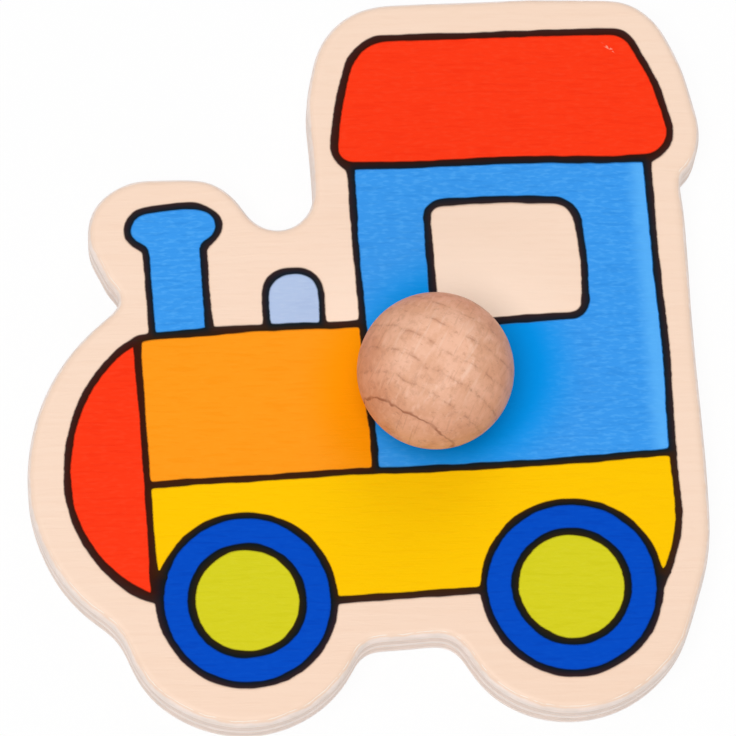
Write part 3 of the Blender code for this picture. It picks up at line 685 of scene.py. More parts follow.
def outline_of(node: str) -> BMesh:
    """Return the outline of a solid's flat top as a wire.

    Args:
        node: The solid's name.

    Returns:
        A bmesh of edges only.
    """
    work = bmesh.new()
    work.from_mesh(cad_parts[node].data)
    bmesh.ops.remove_doubles(work, verts=work.verts, dist=WELD)
    level = max(vertex.co.z for vertex in work.verts)
    flat = {face for face in work.faces if all(abs(v.co.z - level) < WELD for v in face.verts)}
    rim = {edge for face in flat for edge in face.edges if sum(f in flat for f in edge.link_faces) == 1}
    bmesh.ops.delete(work, geom=list(work.faces), context="FACES_ONLY")
    bmesh.ops.delete(work, geom=[edge for edge in work.edges if edge not in rim], context="EDGES")
    bmesh.ops.delete(work, geom=[v for v in work.verts if not v.link_edges], context="VERTS")
    return work


def tight(vertex: BMVert, radius: float) -> bool:
    """Return whether a wire turns at a point more tightly than a radius."""
    turn = vertex.calc_edge_angle(0.0)
    reach = sum(edge.calc_length() for edge in vertex.link_edges) / 2.0
    return turn > STRAIGHT and reach < radius * turn


def tight_corners(work: BMesh, radius: float) -> list[list[BMVert]]:
    """Return the points of each corner of a wire that turns more tightly than a radius.

    Args:
        work: The wire.
        radius: The radius under which a turn counts as a corner.

    Returns:
        A list for each corner, with the two points at which its curve begins and ends.
    """
    corners: list[list[BMVert]] = []
    used: set[BMVert] = set()
    for start in [vertex for vertex in work.verts if tight(vertex, radius)]:
        if start in used:
            continue
        corner = [start]
        for vertex in corner:
            for edge in vertex.link_edges if tight(vertex, radius) else ():
                other = edge.other_vert(vertex)
                if other not in corner and other.calc_edge_angle(0.0) > CURVE_START:
                    corner.append(other)
        used.update(corner)
        corners.append(corner)
    return corners


def sharpen(corner: list[BMVert]) -> None:
    """Draw the points of a corner towards the point where its two sides would meet."""
    sides = []
    for vertex in corner:
        for edge in vertex.link_edges:
            other = edge.other_vert(vertex)
            if other not in corner:
                sides += [other.co.copy(), vertex.co.copy()]
    meeting = geometry.intersect_line_line(*sides) if len(sides) == 4 else None
    if meeting is None:
        return
    gap = min((vertex.co - meeting[0]).length for vertex in corner)
    share = min(SHARPENED, SHARPEN_LIMIT / gap)
    for vertex in corner:
        vertex.co = vertex.co.lerp(meeting[0], share)


def fine_outline(work: BMesh, step: float, passes: int, crisp: float = 0.0) -> None:
    """Divide a wire into short steps and smooth it, but not where it really turns a corner.

    Args:
        work: The wire, changed in place.
        step: The length of a step.
        passes: How many times each point moves half way to its neighbours' middle.
        crisp: The radius under which a corner stays.
    """
    corners = tight_corners(work, crisp)
    for corner in corners:
        sharpen(corner)
    held = set().union(*corners)
    by_cuts: dict[int, list[bmesh.types.BMEdge]] = defaultdict(list)
    for edge in work.edges:
        cuts = round(edge.calc_length() / step) - 1
        if cuts > 0:
            by_cuts[cuts].append(edge)
    for cuts, edges in sorted(by_cuts.items()):
        bmesh.ops.subdivide_edges(work, edges=edges, cuts=cuts)
    loose = [vertex for vertex in work.verts if vertex not in held]
    for _ in range(passes):
        bmesh.ops.smooth_vert(work, verts=loose, factor=0.5, use_axis_x=True, use_axis_y=True)


def away_from_faces(work: BMesh) -> dict[BMVert, Vector]:
    """Return, for each point on the border of a flat mesh, the level direction out of it."""
    outwards: dict[BMVert, Vector] = {}
    for edge in work.edges:
        if len(edge.link_faces) != 1:
            continue
        first, second = edge.verts
        along = second.co - first.co
        across = Vector((along.y, -along.x, 0.0)).normalized()
        inside = edge.link_faces[0].calc_center_median() - first.co
        if across.dot(inside) > 0.0:
            across.negate()
        for vertex in edge.verts:
            outwards[vertex] = outwards.get(vertex, Vector()) + across
    return {vertex: total.normalized() for vertex, total in outwards.items()}


def extrude_solid(work: BMesh, thickness: float) -> None:
    """Give a flat mesh a thickness upwards, as a closed solid."""
    result = bmesh.ops.extrude_face_region(work, geom=list(work.faces), use_keep_orig=True)
    raised = [part for part in result["geom"] if isinstance(part, BMVert)]
    bmesh.ops.translate(work, verts=raised, vec=(0.0, 0.0, thickness))
    bmesh.ops.recalc_face_normals(work, faces=work.faces)


def in_scene(work: BMesh, name: str, material: Material) -> Piece:
    """Turn a bmesh, freed here, into an object of the scene."""
    mesh = bpy.data.meshes.new(name)
    work.to_mesh(mesh)
    work.free()
    mesh.materials.append(material)
    piece = bpy.data.objects.new(name, mesh)
    bpy.context.scene.collection.objects.link(piece)
    return piece


def finished(
    work: BMesh, name: str, material: Material, nodes: Iterable[str], smooth: bool = False
) -> Piece:
    """Turn a bmesh into a piece that rides on the body and stands for its solids.

    Args:
        work: The finished bmesh, freed here.
        name: The piece's name.
        material: Its material.
        nodes: The solids it stands for.
        smooth: Whether its faces are shaded smooth, apart from sharp edges.

    Returns:
        The piece.
    """
    piece = in_scene(work, name, material)
    if smooth:
        piece.data.shade_smooth()
        piece.data.set_sharp_from_angle(angle=SHARP_EDGE)
    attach(piece, ROOT)
    if nodes:
        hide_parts(*nodes)
    return piece


# Lines by hand


def nearness(place: Vector, at: Place, reach: float) -> float:
    """Return 1 at a point and less and less away from it."""
    away = Vector((place.x / MM - at[0], place.y / MM - at[1])).length / reach
    return math.exp(-away * away)


@dataclass(frozen=True)
class Bend:
    """A place where a line drawn by hand swings away from its plain course, in millimetres."""

    where: str
    at: Place
    move: Place
    reach: float

    def shift(self, place: Vector) -> Vector:
        """Return how far this bend moves a place."""
        return Vector((*self.move, 0.0)) * (MM * nearness(place, self.at, self.reach))


@dataclass(frozen=True)
class Swell:
    """A place where a line drawn by hand is thicker, in millimetres."""

    where: str
    at: Place
    more: float
    reach: float

    def growth(self, place: Vector) -> float:
        """Return how far this swell pushes the border of a line at a place."""
        return self.more * MM * nearness(place, self.at, self.reach)


DECK_SAG = ((5.0, 0.27), (12.5, 0.36), (20.0, 0.42), (27.5, 0.4), (35.0, 0.26))
DRAWN_BENDS = (
    Bend("roof's front edge", (-1.5, 34.0), (-0.38, 0.0), 5.5),
    Bend("roof's top front corner", (1.4, 41.8), (0.2, -0.15), 3.0),
    Bend("roof's top rear corner", (37.4, 40.0), (-0.25, -0.15), 3.0),
    Bend("roof's rear edge", (39.4, 33.9), (0.36, 0.16), 4.0),
    Bend("eave", (33.7, 24.7), (0.0, -0.25), 6.0),
    Bend("window's top rear corner", (27.9, 17.2), (-0.3, -0.08), 3.5),
    Bend("window's low rear corner", (28.0, 6.1), (-0.25, 0.12), 3.0),
    Bend("window's foot", (21.6, 4.3), (0.0, 0.1), 5.0),
    Bend("window's top", (18.3, 20.0), (0.0, 0.2), 6.0),
    Bend("eave's front half", (7.5, 25.2), (0.0, -0.12), 6.5),
    Bend("cab's rear wall", (38.0, -1.2), (0.3, 0.0), 8.0),
    Bend("cab's front wall", (-0.8, 14.8), (-0.15, 0.0), 5.0),
    Bend("cab's front wall low down", (-0.7, -10.8), (0.2, 0.0), 4.0),
    *(Bend("sagging deck", (x, -14.3), (0.0, -sag), 5.0) for x, sag in DECK_SAG),
    Bend("deck in front", (-23.1, -14.1), (0.0, 0.12), 4.0),
    Bend("rear wheel's foot", (22.6, -44.4), (-0.03, -0.24), 8.0),
    Bend("rear wheel's front", (9.8, -31.5), (-0.14, 0.0), 5.0),
    Bend("rear wheel's low rear side", (33.5, -39.5), (0.1, -0.1), 4.0),
    Bend("rear hub's front", (16.7, -29.5), (-0.3, 0.03), 5.0),
    Bend("rear hub's top", (21.0, -25.0), (-0.08, 0.16), 4.5),
    Bend("front hub's low rear", (-12.6, -33.6), (0.16, -0.12), 4.5),
    Bend("front hub's low front", (-24.0, -34.6), (-0.14, -0.14), 4.0),
    Bend("front wheel's foot", (-19.3, -44.5), (0.0, 0.1), 8.0),
    Bend("frame's rear end", (38.0, -23.5), (0.2, 0.0), 5.0),
    Bend("boiler's front line", (-30.2, -4.5), (0.08, 0.0), 6.0),
    Bend("front wheel's front", (-27.0, -36.0), (0.2, 0.14), 6.0),
    Bend("nose's brow", (-36.7, -1.7), (-0.22, 0.1), 7.0),
    Bend("nose's chin", (-37.7, -21.3), (0.12, 0.0), 4.0),
    Bend("nose's foot", (-32.2, -28.8), (0.0, -0.2), 3.5),
    Bend("boiler's top", (-17.0, 5.3), (0.0, 0.17), 6.0),
    Bend("boiler's top by the cab", (-3.3, 5.2), (0.0, -0.22), 4.0),
    Bend("boiler's top front corner", (-30.2, 5.4), (0.1, -0.22), 2.2),
    Bend("chimney's rear wall", (-20.6, 11.8), (-0.1, 0.0), 4.0),
    Bend("cap's rear end", (-18.6, 20.4), (0.12, 0.0), 2.0),
    Bend("cap's rear shoulder", (-19.6, 22.4), (-0.2, -0.2), 2.0),
    Bend("cap's front end", (-30.2, 18.6), (-0.16, -0.1), 2.2),
    Bend("cap's top", (-24.0, 22.6), (0.0, 0.15), 3.0),
    Bend("neck in front of the chimney", (-27.6, 16.4), (0.0, 0.4), 1.8),
    Bend("neck behind the chimney", (-20.6, 16.6), (-0.1, 0.3), 1.8),
    Bend("dome", (-9.1, 11.0), (0.22, -0.08), 4.5),
)
DRAWN_SWELLS = (
    Swell("front hub", (-18.2, -30.2), 0.1, 8.0),
    Swell("top of the front wheel", (-18.2, -18.6), -0.06, 6.0),
    Swell("foot of the front wheel", (-18.2, -41.8), -0.05, 7.0),
    Swell("nose's foot", (-32.2, -29.0), 0.16, 4.0),
    Swell("nose's chin", (-36.0, -24.0), 0.03, 5.0),
    Swell("boiler's top under the chimney", (-21.0, 5.4), 0.1, 4.0),
    Swell("boiler's front line", (-30.3, -5.0), -0.08, 7.0),
    Swell("frame's front end", (-30.0, -20.0), -0.045, 5.0),
    Swell("frame's rear end", (37.5, -19.0), -0.03, 6.0),
    Swell("deck in front", (-16.0, -14.5), -0.03, 9.0),
    Swell("chimney's front wall", (-27.5, 11.0), -0.045, 4.0),
    Swell("eave's front corner", (1.5, 24.0), 0.04, 5.0),
    Swell("eave's rear half", (32.0, 25.5), 0.05, 8.0),
    Swell("roof's front edge", (-1.8, 33.0), 0.08, 7.0),
    Swell("roof's rear edge", (39.5, 34.0), -0.03, 6.0),
    Swell("roof's top", (20.0, 43.0), -0.05, 14.0),
    Swell("cab's front wall", (-0.9, 12.0), -0.04, 9.0),
    Swell("cab's front wall low down", (1.0, -10.5), -0.04, 4.0),
    Swell("window's top", (17.0, 20.0), 0.05, 8.0),
    Swell("window's front", (8.5, 13.0), 0.05, 5.0),
    Swell("window's foot", (18.0, 4.3), 0.04, 6.0),
)
BOARD_BENDS = (
    Bend("eave's bulge", (44.7, 26.8), (-0.5, 0.0), 6.0),
    Bend("under the eave", (43.5, 21.6), (-0.25, 0.1), 3.0),
    Bend("rear edge", (41.8, -0.5), (-0.26, 0.0), 14.0),
    Bend("rear edge's foot", (41.5, -25.2), (-0.3, 0.0), 6.0),
    Bend("rear wheel's margin", (37.8, -38.4), (0.18, -0.1), 5.0),
    Bend("belly hollow's rear end", (7.9, -39.8), (0.2, 0.35), 4.0),
    Bend("belly hollow's front end", (-3.5, -38.4), (0.0, 0.2), 2.0),
    Bend("front wheel's margin", (-31.8, -41.2), (-0.12, -0.12), 5.0),
    Bend("nose's margin", (-44.2, -21.6), (0.16, 0.05), 6.0),
    Bend("chimney lobe's rear shoulder", (-16.2, 23.4), (-0.28, -0.28), 4.0),
    Bend("chimney lobe's front shoulder", (-31.3, 25.4), (0.16, -0.16), 3.0),
    Bend("chimney lobe's top", (-22.7, 25.7), (0.0, 0.12), 4.0),
    Bend("hollow under the chimney lobe", (-32.3, 10.4), (0.4, 0.0), 1.8),
    Bend("shoulder over that hollow", (-33.8, 12.6), (-0.25, -0.25), 1.8),
    Bend("notch before the cab", (-6.1, 27.0), (0.2, 0.0), 7.0),
    Bend("brow's margin", (-34.7, 7.1), (0.12, -0.12), 6.0),
    Bend("top front corner", (-0.9, 45.1), (-0.12, 0.1), 5.0),
    Bend("top rear corner", (39.6, 43.0), (-0.22, -0.2), 4.0),
    Bend("roof's rear margin", (42.8, 36.1), (0.25, 0.06), 4.0),
)


def hand_drawn(
    node: str, level: float, bends: tuple[Bend, ...], step: float, passes: int, crisp: float = 0.0
) -> BMesh:
    """Return a solid's outline as a fine wire on one level, smoothed and moved by every bend near it."""
    work = outline_of(node)
    fine_outline(work, step, passes, crisp)
    for vertex in work.verts:
        vertex.co = sum((bend.shift(vertex.co) for bend in bends), vertex.co.copy())
        vertex.co.z = level
    return work


# The board


@dataclass
class Board:
    """The sawn plywood blank: five plies, their glue lines and a sanded rim."""

    step: float = 0.33 * MM
    smoothing: int = 10
    bends: tuple[Bend, ...] = BOARD_BENDS
    front_round: float = 1.1 * MM
    back_round: float = 0.5 * MM
    front_steps: int = 8
    back_steps: int = 4
    border: float = 0.25 * MM
    sanding: float = 0.09 * MM
    sanding_length: float = 7.0 * MM
    sanding_layers: float = 1.6
    bore_radius: float = BORE_RADIUS
    bore_steps: int = 48
    glue_inset: float = 0.04 * MM
    glue_clearance: float = 0.004 * MM
    plies: tuple[str, ...] = ("back_veneer", "rear_crossband", "core_ply", "front_crossband", "face_veneer")
    bored: tuple[str, ...] = ("core_ply", "front_crossband", "face_veneer")
    pieces: list[Piece] = field(default_factory=list)

    def build(self) -> None:
        """Build the plies from the back to the face, then the glue between them."""
        along = VeneerFinish("sanded_veneer", knob_at=axis_of("dowel")).material()
        across = VeneerFinish(
            "sanded_crossband", srgb(240, 212, 190), srgb(222, 188, 162), srgb(240, 216, 202),
            srgb(222, 203, 191), lay=Lay.ACROSS,
        ).material()
        glue = GlueFinish().material()
        for node in self.plies:
            crossed = node.endswith("crossband")
            low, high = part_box(node)
            work = self.slab(low[2], high[2] - low[2])
            if node == self.plies[-1]:
                self.round_rim(work, high[2], self.front_round, self.front_steps)
            if node == self.plies[0]:
                self.round_rim(work, low[2], self.back_round, self.back_steps)
            self.sand(work)
            self.cap(work, node in self.bored, self.border)
            material = across if crossed else along
            self.pieces.append(finished(work, f"sanded_{node}", material, [node], True))
        for below, above in zip(self.plies, self.plies[1:]):
            self.pieces.append(self.glue_line(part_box(below)[1][2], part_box(above)[0][2], above, glue))

    def slab(self, floor: float, thickness: float) -> BMesh:
        """Return the outline as a slab with one many-sided face above and below."""
        work = hand_drawn("core_ply", floor, self.bends, self.step, self.smoothing)
        bmesh.ops.contextual_create(work, geom=work.edges)
        extrude_solid(work, thickness)
        return work

    def round_rim(self, work: BMesh, level: float, radius: float, steps: int) -> None:
        """Round the rim at a level."""
        rim = [edge for edge in work.edges if all(abs(v.co.z - level) < WELD for v in edge.verts)]
        bmesh.ops.bevel(
            work, geom=rim, offset=radius, segments=steps, profile=0.5, affect="EDGES", material=-1,
            clamp_overlap=False,
        )

    def sand(self, work: BMesh) -> None:
        """Ease the walls and rims inwards by a slight hand-sanded unevenness."""
        for vertex, normal in [(v, v.normal.copy()) for v in work.verts]:
            place = vertex.co / self.sanding_length
            place.z *= self.sanding_layers
            depth = 0.5 + 0.5 * noise.noise(place)
            vertex.co -= Vector((normal.x, normal.y, 0.0)) * (self.sanding * depth)

    def cap(self, work: BMesh, bored: bool, border: float = 0.0) -> None:
        """Border the two flat faces with a narrow ring if asked, and bore or divide them."""
        flats = [face for face in work.faces if len(face.verts) > 4]
        if border:
            bmesh.ops.inset_region(work, faces=flats, thickness=border, use_even_offset=True)
        if bored:
            self.bore(work, flats)
        else:
            bmesh.ops.triangulate(work, faces=flats, ngon_method="BEAUTY")

    def bore(self, work: BMesh, flats: list[bmesh.types.BMFace]) -> None:
        """Open the dowel's bore through both flat faces."""
        circles = []
        for face in flats:
            centre = Vector((*axis_of("dowel"), face.verts[0].co.z))
            border = list(face.edges)
            bmesh.ops.delete(work, geom=[face], context="FACES_ONLY")
            made = bmesh.ops.create_circle(
                work, segments=self.bore_steps, radius=self.bore_radius, matrix=Matrix.Translation(centre)
            )
            circle = list({edge for vertex in made["verts"] for edge in vertex.link_edges})
            circles += circle
            bmesh.ops.triangle_fill(work, edges=border + circle, use_beauty=True)
        bmesh.ops.bridge_loops(work, edges=circles)
        bmesh.ops.recalc_face_normals(work, faces=work.faces)

    def glue_line(self, low: float, high: float, above: str, material: Material) -> Piece:
        """Return the glue between two plies, drawn back a hair from their edge."""
        gap = self.glue_clearance
        work = self.slab(low + gap, high - low - 2.0 * gap)
        for vertex, normal in [(v, v.normal.copy()) for v in work.verts]:
            level = Vector((normal.x, normal.y, 0.0)).normalized()
            vertex.co -= level * (self.sanding + self.glue_inset)
        self.cap(work, above in self.bored[1:])
        return finished(work, f"glue_under_{above}", material, [])


# The print


FIELDS = {
    "print_roof": "red_ink",
    "print_nose": "red_ink",
    "print_cab": "sky_blue_ink",
    "print_chimney": "sky_blue_ink",
    "print_dome": "pale_blue_ink",
    "print_boiler": "orange_ink",
    "print_frame": "yellow_ink",
    "print_front_tyre": "deep_blue_ink",
    "print_rear_tyre": "deep_blue_ink",
    "print_front_hub": "lime_green_ink",
    "print_rear_hub": "lime_green_ink",
}
LINES = ("print_outline", "print_window_line", "print_front_hub_line", "print_rear_hub_line")


@dataclass
class Picture:
    """The print: colour films first, then the black outlines over their edges."""

    step: float = 0.25 * MM
    smoothing: int = 8
    crisp: float = 0.6 * MM
    bends: tuple[Bend, ...] = DRAWN_BENDS
    swells: tuple[Swell, ...] = DRAWN_SWELLS
    film: float = 0.03 * MM
    outline_film: float = 0.04 * MM
    outline_lift: float = 0.05 * MM
    colour_lift: float = 0.01 * MM
    wobbles: tuple[tuple[float, float], ...] = ((0.1 * MM, 2.6 * MM), (0.03 * MM, 1.1 * MM))
    spread: float = 0.085 * MM
    feather: float = 0.22 * MM
    look_aside: float = 0.25 * MM
    look_across: float = 1.35 * MM
    look_askew: tuple[float, float] = (math.radians(-50.0), math.radians(50.0))
    look_further: float = 2.2 * MM
    look_down: float = 0.06 * MM
    blends: int = 12
    easings: int = 12
    knob_at: Place = field(default_factory=lambda: axis_of("dowel"))
    # Painted shade on the cab: the shift of its centre from the knob, and its reach.
    cab_shading_shift: Place = (3.5 * MM, 2.5 * MM)
    cab_shading_reach: Ramp = Ramp(10.0, 17.0, 1.0, 0.0)
    # Where the painted sheen along the cab's rear border begins.
    cab_sheen_from: float = 34.6 * MM
    misprint: Misprint = Misprint((33.8 * MM, 39.6 * MM))
    pieces: list[Piece] = field(default_factory=list)

    def build(self) -> None:
        """Print each colour, remember where it lies, then draw the outlines."""
        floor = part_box("face_veneer")[1][2]
        inks = self.inks()
        printed: list[tuple[BVHTree, InkFinish]] = []
        for node, slot in FIELDS.items():
            work = self.traced(node, floor + self.colour_lift)
            printed.append((BVHTree.FromBMesh(work), inks[slot]))
            extrude_solid(work, self.film)
            name = node.replace("print_", "inked_")
            self.pieces.append(finished(work, name, inks[slot].material(), [node]))
        black = OutlineFinish()
        material = black.material()
        for node in LINES:
            work = self.traced(node, floor + self.outline_lift)
            self.waver(work)
            self.unfold(work)
            self.tint(work, black, printed)
            extrude_solid(work, self.outline_film)
            name = node.replace("print_", "drawn_")
            self.pieces.append(finished(work, name, material, [node]))

    def inks(self) -> dict[str, InkFinish]:
        """Return the inks by their slot in the record."""
        cab_shading_centre = (self.knob_at[0] + self.cab_shading_shift[0], self.knob_at[1] + self.cab_shading_shift[1])
        sky_blue = srgb(60, 155, 240)
        plain = {
            "red_ink": (srgb(255, 58, 22), srgb(246, 46, 14), srgb(255, 80, 46), 0.34, 0.2),
            "sky_blue_ink": (sky_blue, srgb(40, 134, 220), srgb(96, 184, 254), 0.34, 0.36),
            "pale_blue_ink": (srgb(179, 199, 233), srgb(166, 187, 225), srgb(192, 208, 236), 0.4, 0.3),
            "orange_ink": (srgb(255, 156, 27), srgb(252, 146, 12), srgb(255, 164, 40), 0.35, 0.2),
            "yellow_ink": (srgb(255, 200, 0), srgb(251, 192, 0), srgb(255, 204, 10), 0.3, 0.2),
            "deep_blue_ink": (srgb(1, 76, 198), srgb(0, 66, 184), srgb(10, 86, 206), 0.4, 0.3),
            "lime_green_ink": (srgb(215, 209, 34), srgb(206, 200, 22), srgb(222, 216, 56), 0.35, 0.2),
        }
        inks = {slot: InkFinish(f"{slot}_print", *looks) for slot, looks in plain.items()}
        inks["red_ink"] = replace(inks["red_ink"], misprint=self.misprint)
        # Sky blue and orange get painted shade round the knob; sky blue also gets a painted sheen along the
        # cab's rear border.
        inks["sky_blue_ink"] = replace(
            inks["sky_blue_ink"], painted_knob_shading=srgb(0, 150, 240), shading_centre=cab_shading_centre, knob_shading_reach=self.cab_shading_reach,
            sheen_from=self.cab_sheen_from,
        )
        inks["pale_blue_ink"] = replace(inks["pale_blue_ink"], lends=sky_blue)
        inks["orange_ink"] = replace(inks["orange_ink"], painted_knob_shading=srgb(255, 152, 0), shading_centre=self.knob_at)
        return inks

    def traced(self, node: str, level: float) -> BMesh:
        """Return the flat sheet that a print solid covers, with its border drawn by hand, at a level."""
        work = hand_drawn(node, level, self.bends, self.step, self.smoothing, self.crisp)
        bmesh.ops.triangle_fill(work, edges=work.edges, use_beauty=True)
        return work

    def colour_at(self, place: Vector, printed: list[tuple[BVHTree, InkFinish]]) -> tuple[Colour, Colour]:
        """Return the colour at a place, and the one that it lends to black ink over it."""
        for tree, ink in printed:
            if tree.find_nearest(place, self.look_down)[0] is not None:
                return ink.colour, ink.lends or ink.colour
        return VeneerFinish.light, VeneerFinish.light

    def tint(self, work: BMesh, black: OutlineFinish, printed: list[tuple[BVHTree, InkFinish]]) -> None:
        """Store the colours at the sides of the outlines, and where the ink is thin or full.

        Args:
            work: The outlines, still flat. They get a narrow ring of faces along each border.
            black: Their finish, which names the two attributes.
            printed: The colour films and their inks.
        """
        layers = work.verts.layers.float_color
        layers.new(black.beside)
        layers.new(black.across)
        beside, across = layers[black.beside], layers[black.across]
        for vertex, outwards in away_from_faces(work).items():
            seen, near = self.colour_at(vertex.co + outwards * self.look_aside, printed)
            aims = [vertex.co - outwards * self.look_across]
            for turn in self.look_askew:
                aims.append(vertex.co - Matrix.Rotation(turn, 3, "Z") @ outwards * self.look_further)
            far = [self.colour_at(aim, printed)[1] for aim in aims]
            vertex[beside] = (*seen, 0.0)
            vertex[across] = (*black.lent(near, far), 1.0)
        for _ in range(self.blends):
            self.soften(work, across)
        bmesh.ops.inset_region(work, faces=work.faces, thickness=self.feather, use_boundary=True)
        for vertex in work.verts:
            rims = [edge.other_vert(vertex) for edge in vertex.link_edges]
            rims = [rim for rim in rims if rim.is_boundary]
            if rims and not vertex.is_boundary:
                vertex[beside] = (*rims[0][beside][:3], 1.0)
                vertex[across] = rims[0][across]
        self.unfold(work)

    def soften(self, work: BMesh, layer: bmesh.types.BMLayerItem) -> None:
        """Mix the colour at each border point with its neighbours' along the border."""
        mixed: dict[BMVert, Vector] = {}
        for vertex in work.verts:
            ring = [vertex] + [edge.other_vert(vertex) for edge in vertex.link_edges if edge.is_boundary]
            mixed[vertex] = sum((Vector(point[layer]) for point in ring), Vector((0.0,) * 4)) / len(ring)
        for vertex, colour in mixed.items():
            vertex[layer] = colour

    def waver(self, work: BMesh) -> None:
        """Let the width of the drawn outlines waver a little and swell where the hand pressed."""
        for vertex, outwards in away_from_faces(work).items():
            growth = self.spread + sum(swell.growth(vertex.co) for swell in self.swells)
            for depth, length in self.wobbles:
                place = vertex.co / length
                growth += depth * noise.noise(Vector((place.x, place.y, 0.0)))
            vertex.co += outwards * growth

    def unfold(self, work: BMesh) -> None:
        """Ease the points where a sharp tip of the outlines has folded over itself."""
        inset = any(not vertex.is_boundary for vertex in work.verts)
        for _ in range(self.easings):
            work.normal_update()
            upside = math.copysign(1.0, sum(face.normal.z for face in work.faces))
            folded = [face for face in work.faces if face.normal.z * upside < 0.0]
            eased: dict[BMVert, Vector] = {}
            for vertex in (point for face in folded for point in face.verts):
                if inset and vertex.is_boundary:
                    continue
                edges = [edge for edge in vertex.link_edges if edge.is_boundary or inset]
                ring = [edge.other_vert(vertex) for edge in edges]
                ring = [vertex] + [point for point in ring if point.is_boundary]
                eased[vertex] = sum((point.co for point in ring), Vector()) / len(ring)
            for vertex, place in eased.items():
                vertex.co = place


# The knob


@dataclass
class Knob:
    """The turned ball: a round body with a small sanded flat on its crown and a seat below."""

    crown_flat: float = 3.775 * MM
    crown_round: float = 2.5 * MM
    seat_radius: float = 4.3 * MM
    seat_ease: float = 0.2 * MM
    bore_radius: float = BORE_RADIUS
    bore_depth: float = 9.2 * MM
    arc_steps: int = 72
    crown_steps: int = 10
    turns: int = 144
    pieces: list[Piece] = field(default_factory=list)

    def build(self) -> None:
        """Turn the ball about its upright axis and dress its dowel."""
        low, high = (Vector(corner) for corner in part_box("knob"))
        axis = Vector((*axis_of("knob"), 0.0))
        beech = BeechFinish((axis.x, axis.y)).material()
        work = self.turned(axis, (high.x - low.x) / 2.0, low.z, high.z)
        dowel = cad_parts["dowel"]
        dowel.data.materials.clear()
        dowel.data.materials.append(beech)
        self.pieces += [finished(work, "turned_knob", beech, ["knob"], True), dowel]

    def turned(self, axis: Vector, radius: float, floor: float, top: float) -> BMesh:
        """Return the turned ball.

        Args:
            axis: The foot of its upright axis.
            radius: The ball's radius.
            floor: The level of its seat.
            top: The level of its crown.

        Returns:
            The closed bmesh.
        """
        work = bmesh.new()
        centre_up = top - self.crown_round
        lean = math.asin(self.crown_flat / (radius - self.crown_round))
        ball_up = centre_up - (radius - self.crown_round) * math.cos(lean)
        pole = work.verts.new((0.0, 0.0, top))
        rim = work.verts.new((self.crown_flat, 0.0, top))
        work.edges.new((pole, rim))
        rim = self.arc(work, rim, Vector((self.crown_flat, 0.0, centre_up)), lean, self.crown_steps)
        sweep = math.pi - lean - math.asin(self.seat_radius / radius)
        rim = self.arc(work, rim, Vector((0.0, 0.0, ball_up)), sweep, self.arc_steps)
        bore_top = floor + self.bore_depth
        seat = (rim.co.x - self.seat_ease, floor)
        bore = ((self.bore_radius, floor), (self.bore_radius, bore_top), (0.0, bore_top))
        for out, level in (seat, *bore):
            point = work.verts.new((out, 0.0, level))
            work.edges.new((rim, point))
            rim = point
        bmesh.ops.spin(
            work, geom=list(work.edges) + list(work.verts), cent=(0.0, 0.0, 0.0), axis=(0.0, 0.0, 1.0),
            angle=2.0 * math.pi, steps=self.turns, use_merge=True,
        )
        bmesh.ops.remove_doubles(work, verts=work.verts, dist=WELD)
        bmesh.ops.translate(work, verts=work.verts, vec=axis)
        bmesh.ops.recalc_face_normals(work, faces=work.faces)
        return work

    def arc(self, work: BMesh, start: BMVert, centre: Vector, sweep: float, steps: int) -> BMVert:
        """Draw an arc of the half section down from a point and return its last point."""
        made = bmesh.ops.spin(work, geom=[start], cent=centre, axis=(0.0, 1.0, 0.0), angle=sweep, steps=steps)
        return next(part for part in made["geom_last"] if isinstance(part, BMVert))


# The studio


@dataclass(frozen=True)
class Lamp:
    """A softbox: where it hangs, how large it is in metres and its power in watts."""

    name: str
    direction: Vector
    distance: float
    size: tuple[float, float]
    power: float


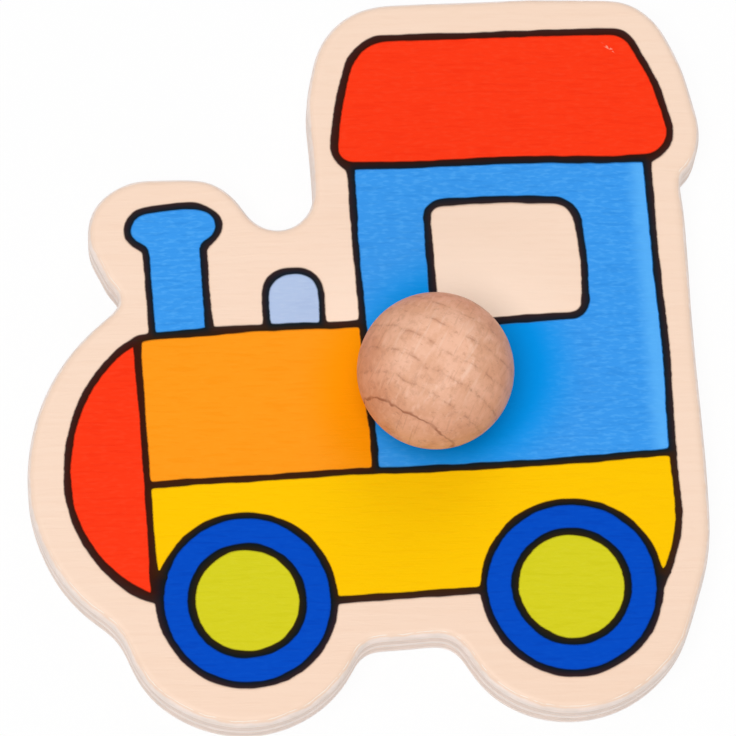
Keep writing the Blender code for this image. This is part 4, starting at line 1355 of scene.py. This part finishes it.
@dataclass
class Studio:
    """Pale floor, soft lights and the camera."""

    target: Vector = field(default_factory=lambda: Vector((-0.563, -0.893, 8.0)) * MM)
    distance: float = 1.0
    tilt: float = math.radians(14.0)
    heading: float = math.radians(11.0)
    roll: float = math.radians(3.9)
    focal: float = 381.3
    sensor: float = 36.0
    farthest: float = 20.0
    floor_size: float = 8.0
    floor_cells: int = 8
    floor_gap: float = 0.02 * MM
    world_light: float = 0.35
    lamps: tuple[Lamp, ...] = (
        Lamp("key_softbox", Vector((-0.165, -0.165, 0.97)), 1.3, (0.7, 0.7), 9.1),
        Lamp("front_strip", Vector((-0.12, -0.85, 0.50)), 1.3, (1.2, 0.6), 2.2),
        Lamp("fill_softbox", Vector((0.20, 0.65, 0.72)), 1.3, (0.8, 0.8), 2.8),
    )

    def build(self) -> None:
        """Set up the camera, the floor, the lamps and the white surroundings."""
        self.camera()
        self.floor()
        self.lights()
        self.world()
        bpy.context.scene.view_settings.view_transform = "Standard"

    def camera(self) -> None:
        """Place the camera at the picture's viewing angle."""
        data = bpy.data.cameras.new("picture_camera")
        data.lens = self.focal
        data.sensor_width = self.sensor
        data.clip_end = self.farthest
        camera = bpy.data.objects.new("picture_camera", data)
        sine, cosine = math.sin(self.tilt), math.cos(self.tilt)
        back = Vector((-sine * math.sin(self.heading), -sine * math.cos(self.heading), cosine))
        level = (Vector((1.0, 0.0, 0.0)) - back * back.x).normalized()
        upright = back.cross(level)
        right = level * math.cos(self.roll) - upright * math.sin(self.roll)
        up = level * math.sin(self.roll) + upright * math.cos(self.roll)
        place = Matrix((right, up, back)).transposed().to_4x4()
        place.translation = self.target + back * self.distance
        camera.matrix_world = place
        bpy.context.scene.collection.objects.link(camera)
        bpy.context.scene.camera = camera

    def floor(self) -> None:
        """Lay the floor just under the board's back."""
        work = bmesh.new()
        cells = self.floor_cells
        bmesh.ops.create_grid(work, x_segments=cells, y_segments=cells, size=self.floor_size / 2.0)
        bmesh.ops.translate(work, verts=work.verts, vec=(0.0, 0.0, CAD_BOX[0][2] - self.floor_gap))
        in_scene(work, "studio_floor", GroundFinish().material())

    def lights(self) -> None:
        """Hang the softboxes, turned towards the picture."""
        for lamp in self.lamps:
            data = bpy.data.lights.new(lamp.name, "AREA")
            data.shape = "RECTANGLE"
            data.size, data.size_y = lamp.size
            data.energy = lamp.power
            hung = bpy.data.objects.new(lamp.name, data)
            hung.location = self.target + lamp.direction.normalized() * lamp.distance
            hung.rotation_euler = (-lamp.direction).to_track_quat("-Z", "Y").to_euler()
            bpy.context.scene.collection.objects.link(hung)

    def world(self) -> None:
        """Light the scene evenly from all round and show white to the camera."""
        world = bpy.data.worlds.new("studio_surroundings")
        bpy.context.scene.world = world
        world.use_nodes = True
        craft = NodeCraft(world.node_tree)
        strength = craft.add("ShaderNodeMapRange")
        craft.feed(strength.inputs["Value"], craft.seen_directly())
        strength.inputs["To Min"].default_value = self.world_light
        background = craft.tree.nodes["Background"]
        craft.feed(background.inputs["Color"], (1.0, 1.0, 1.0))
        craft.feed(background.inputs["Strength"], strength.outputs["Result"])


def main() -> None:
    """Build the studio, then the board, the picture and the knob, and report their pieces."""
    logging.basicConfig(level=logging.INFO, format="%(name)s: %(message)s")
    Studio().build()
    for part in (Board(), Picture(), Knob()):
        part.build()
        for piece in part.pieces:
            LOG.info("%s: %d faces", piece.name, len(piece.data.polygons))


if __name__ == "__main__":
    main()
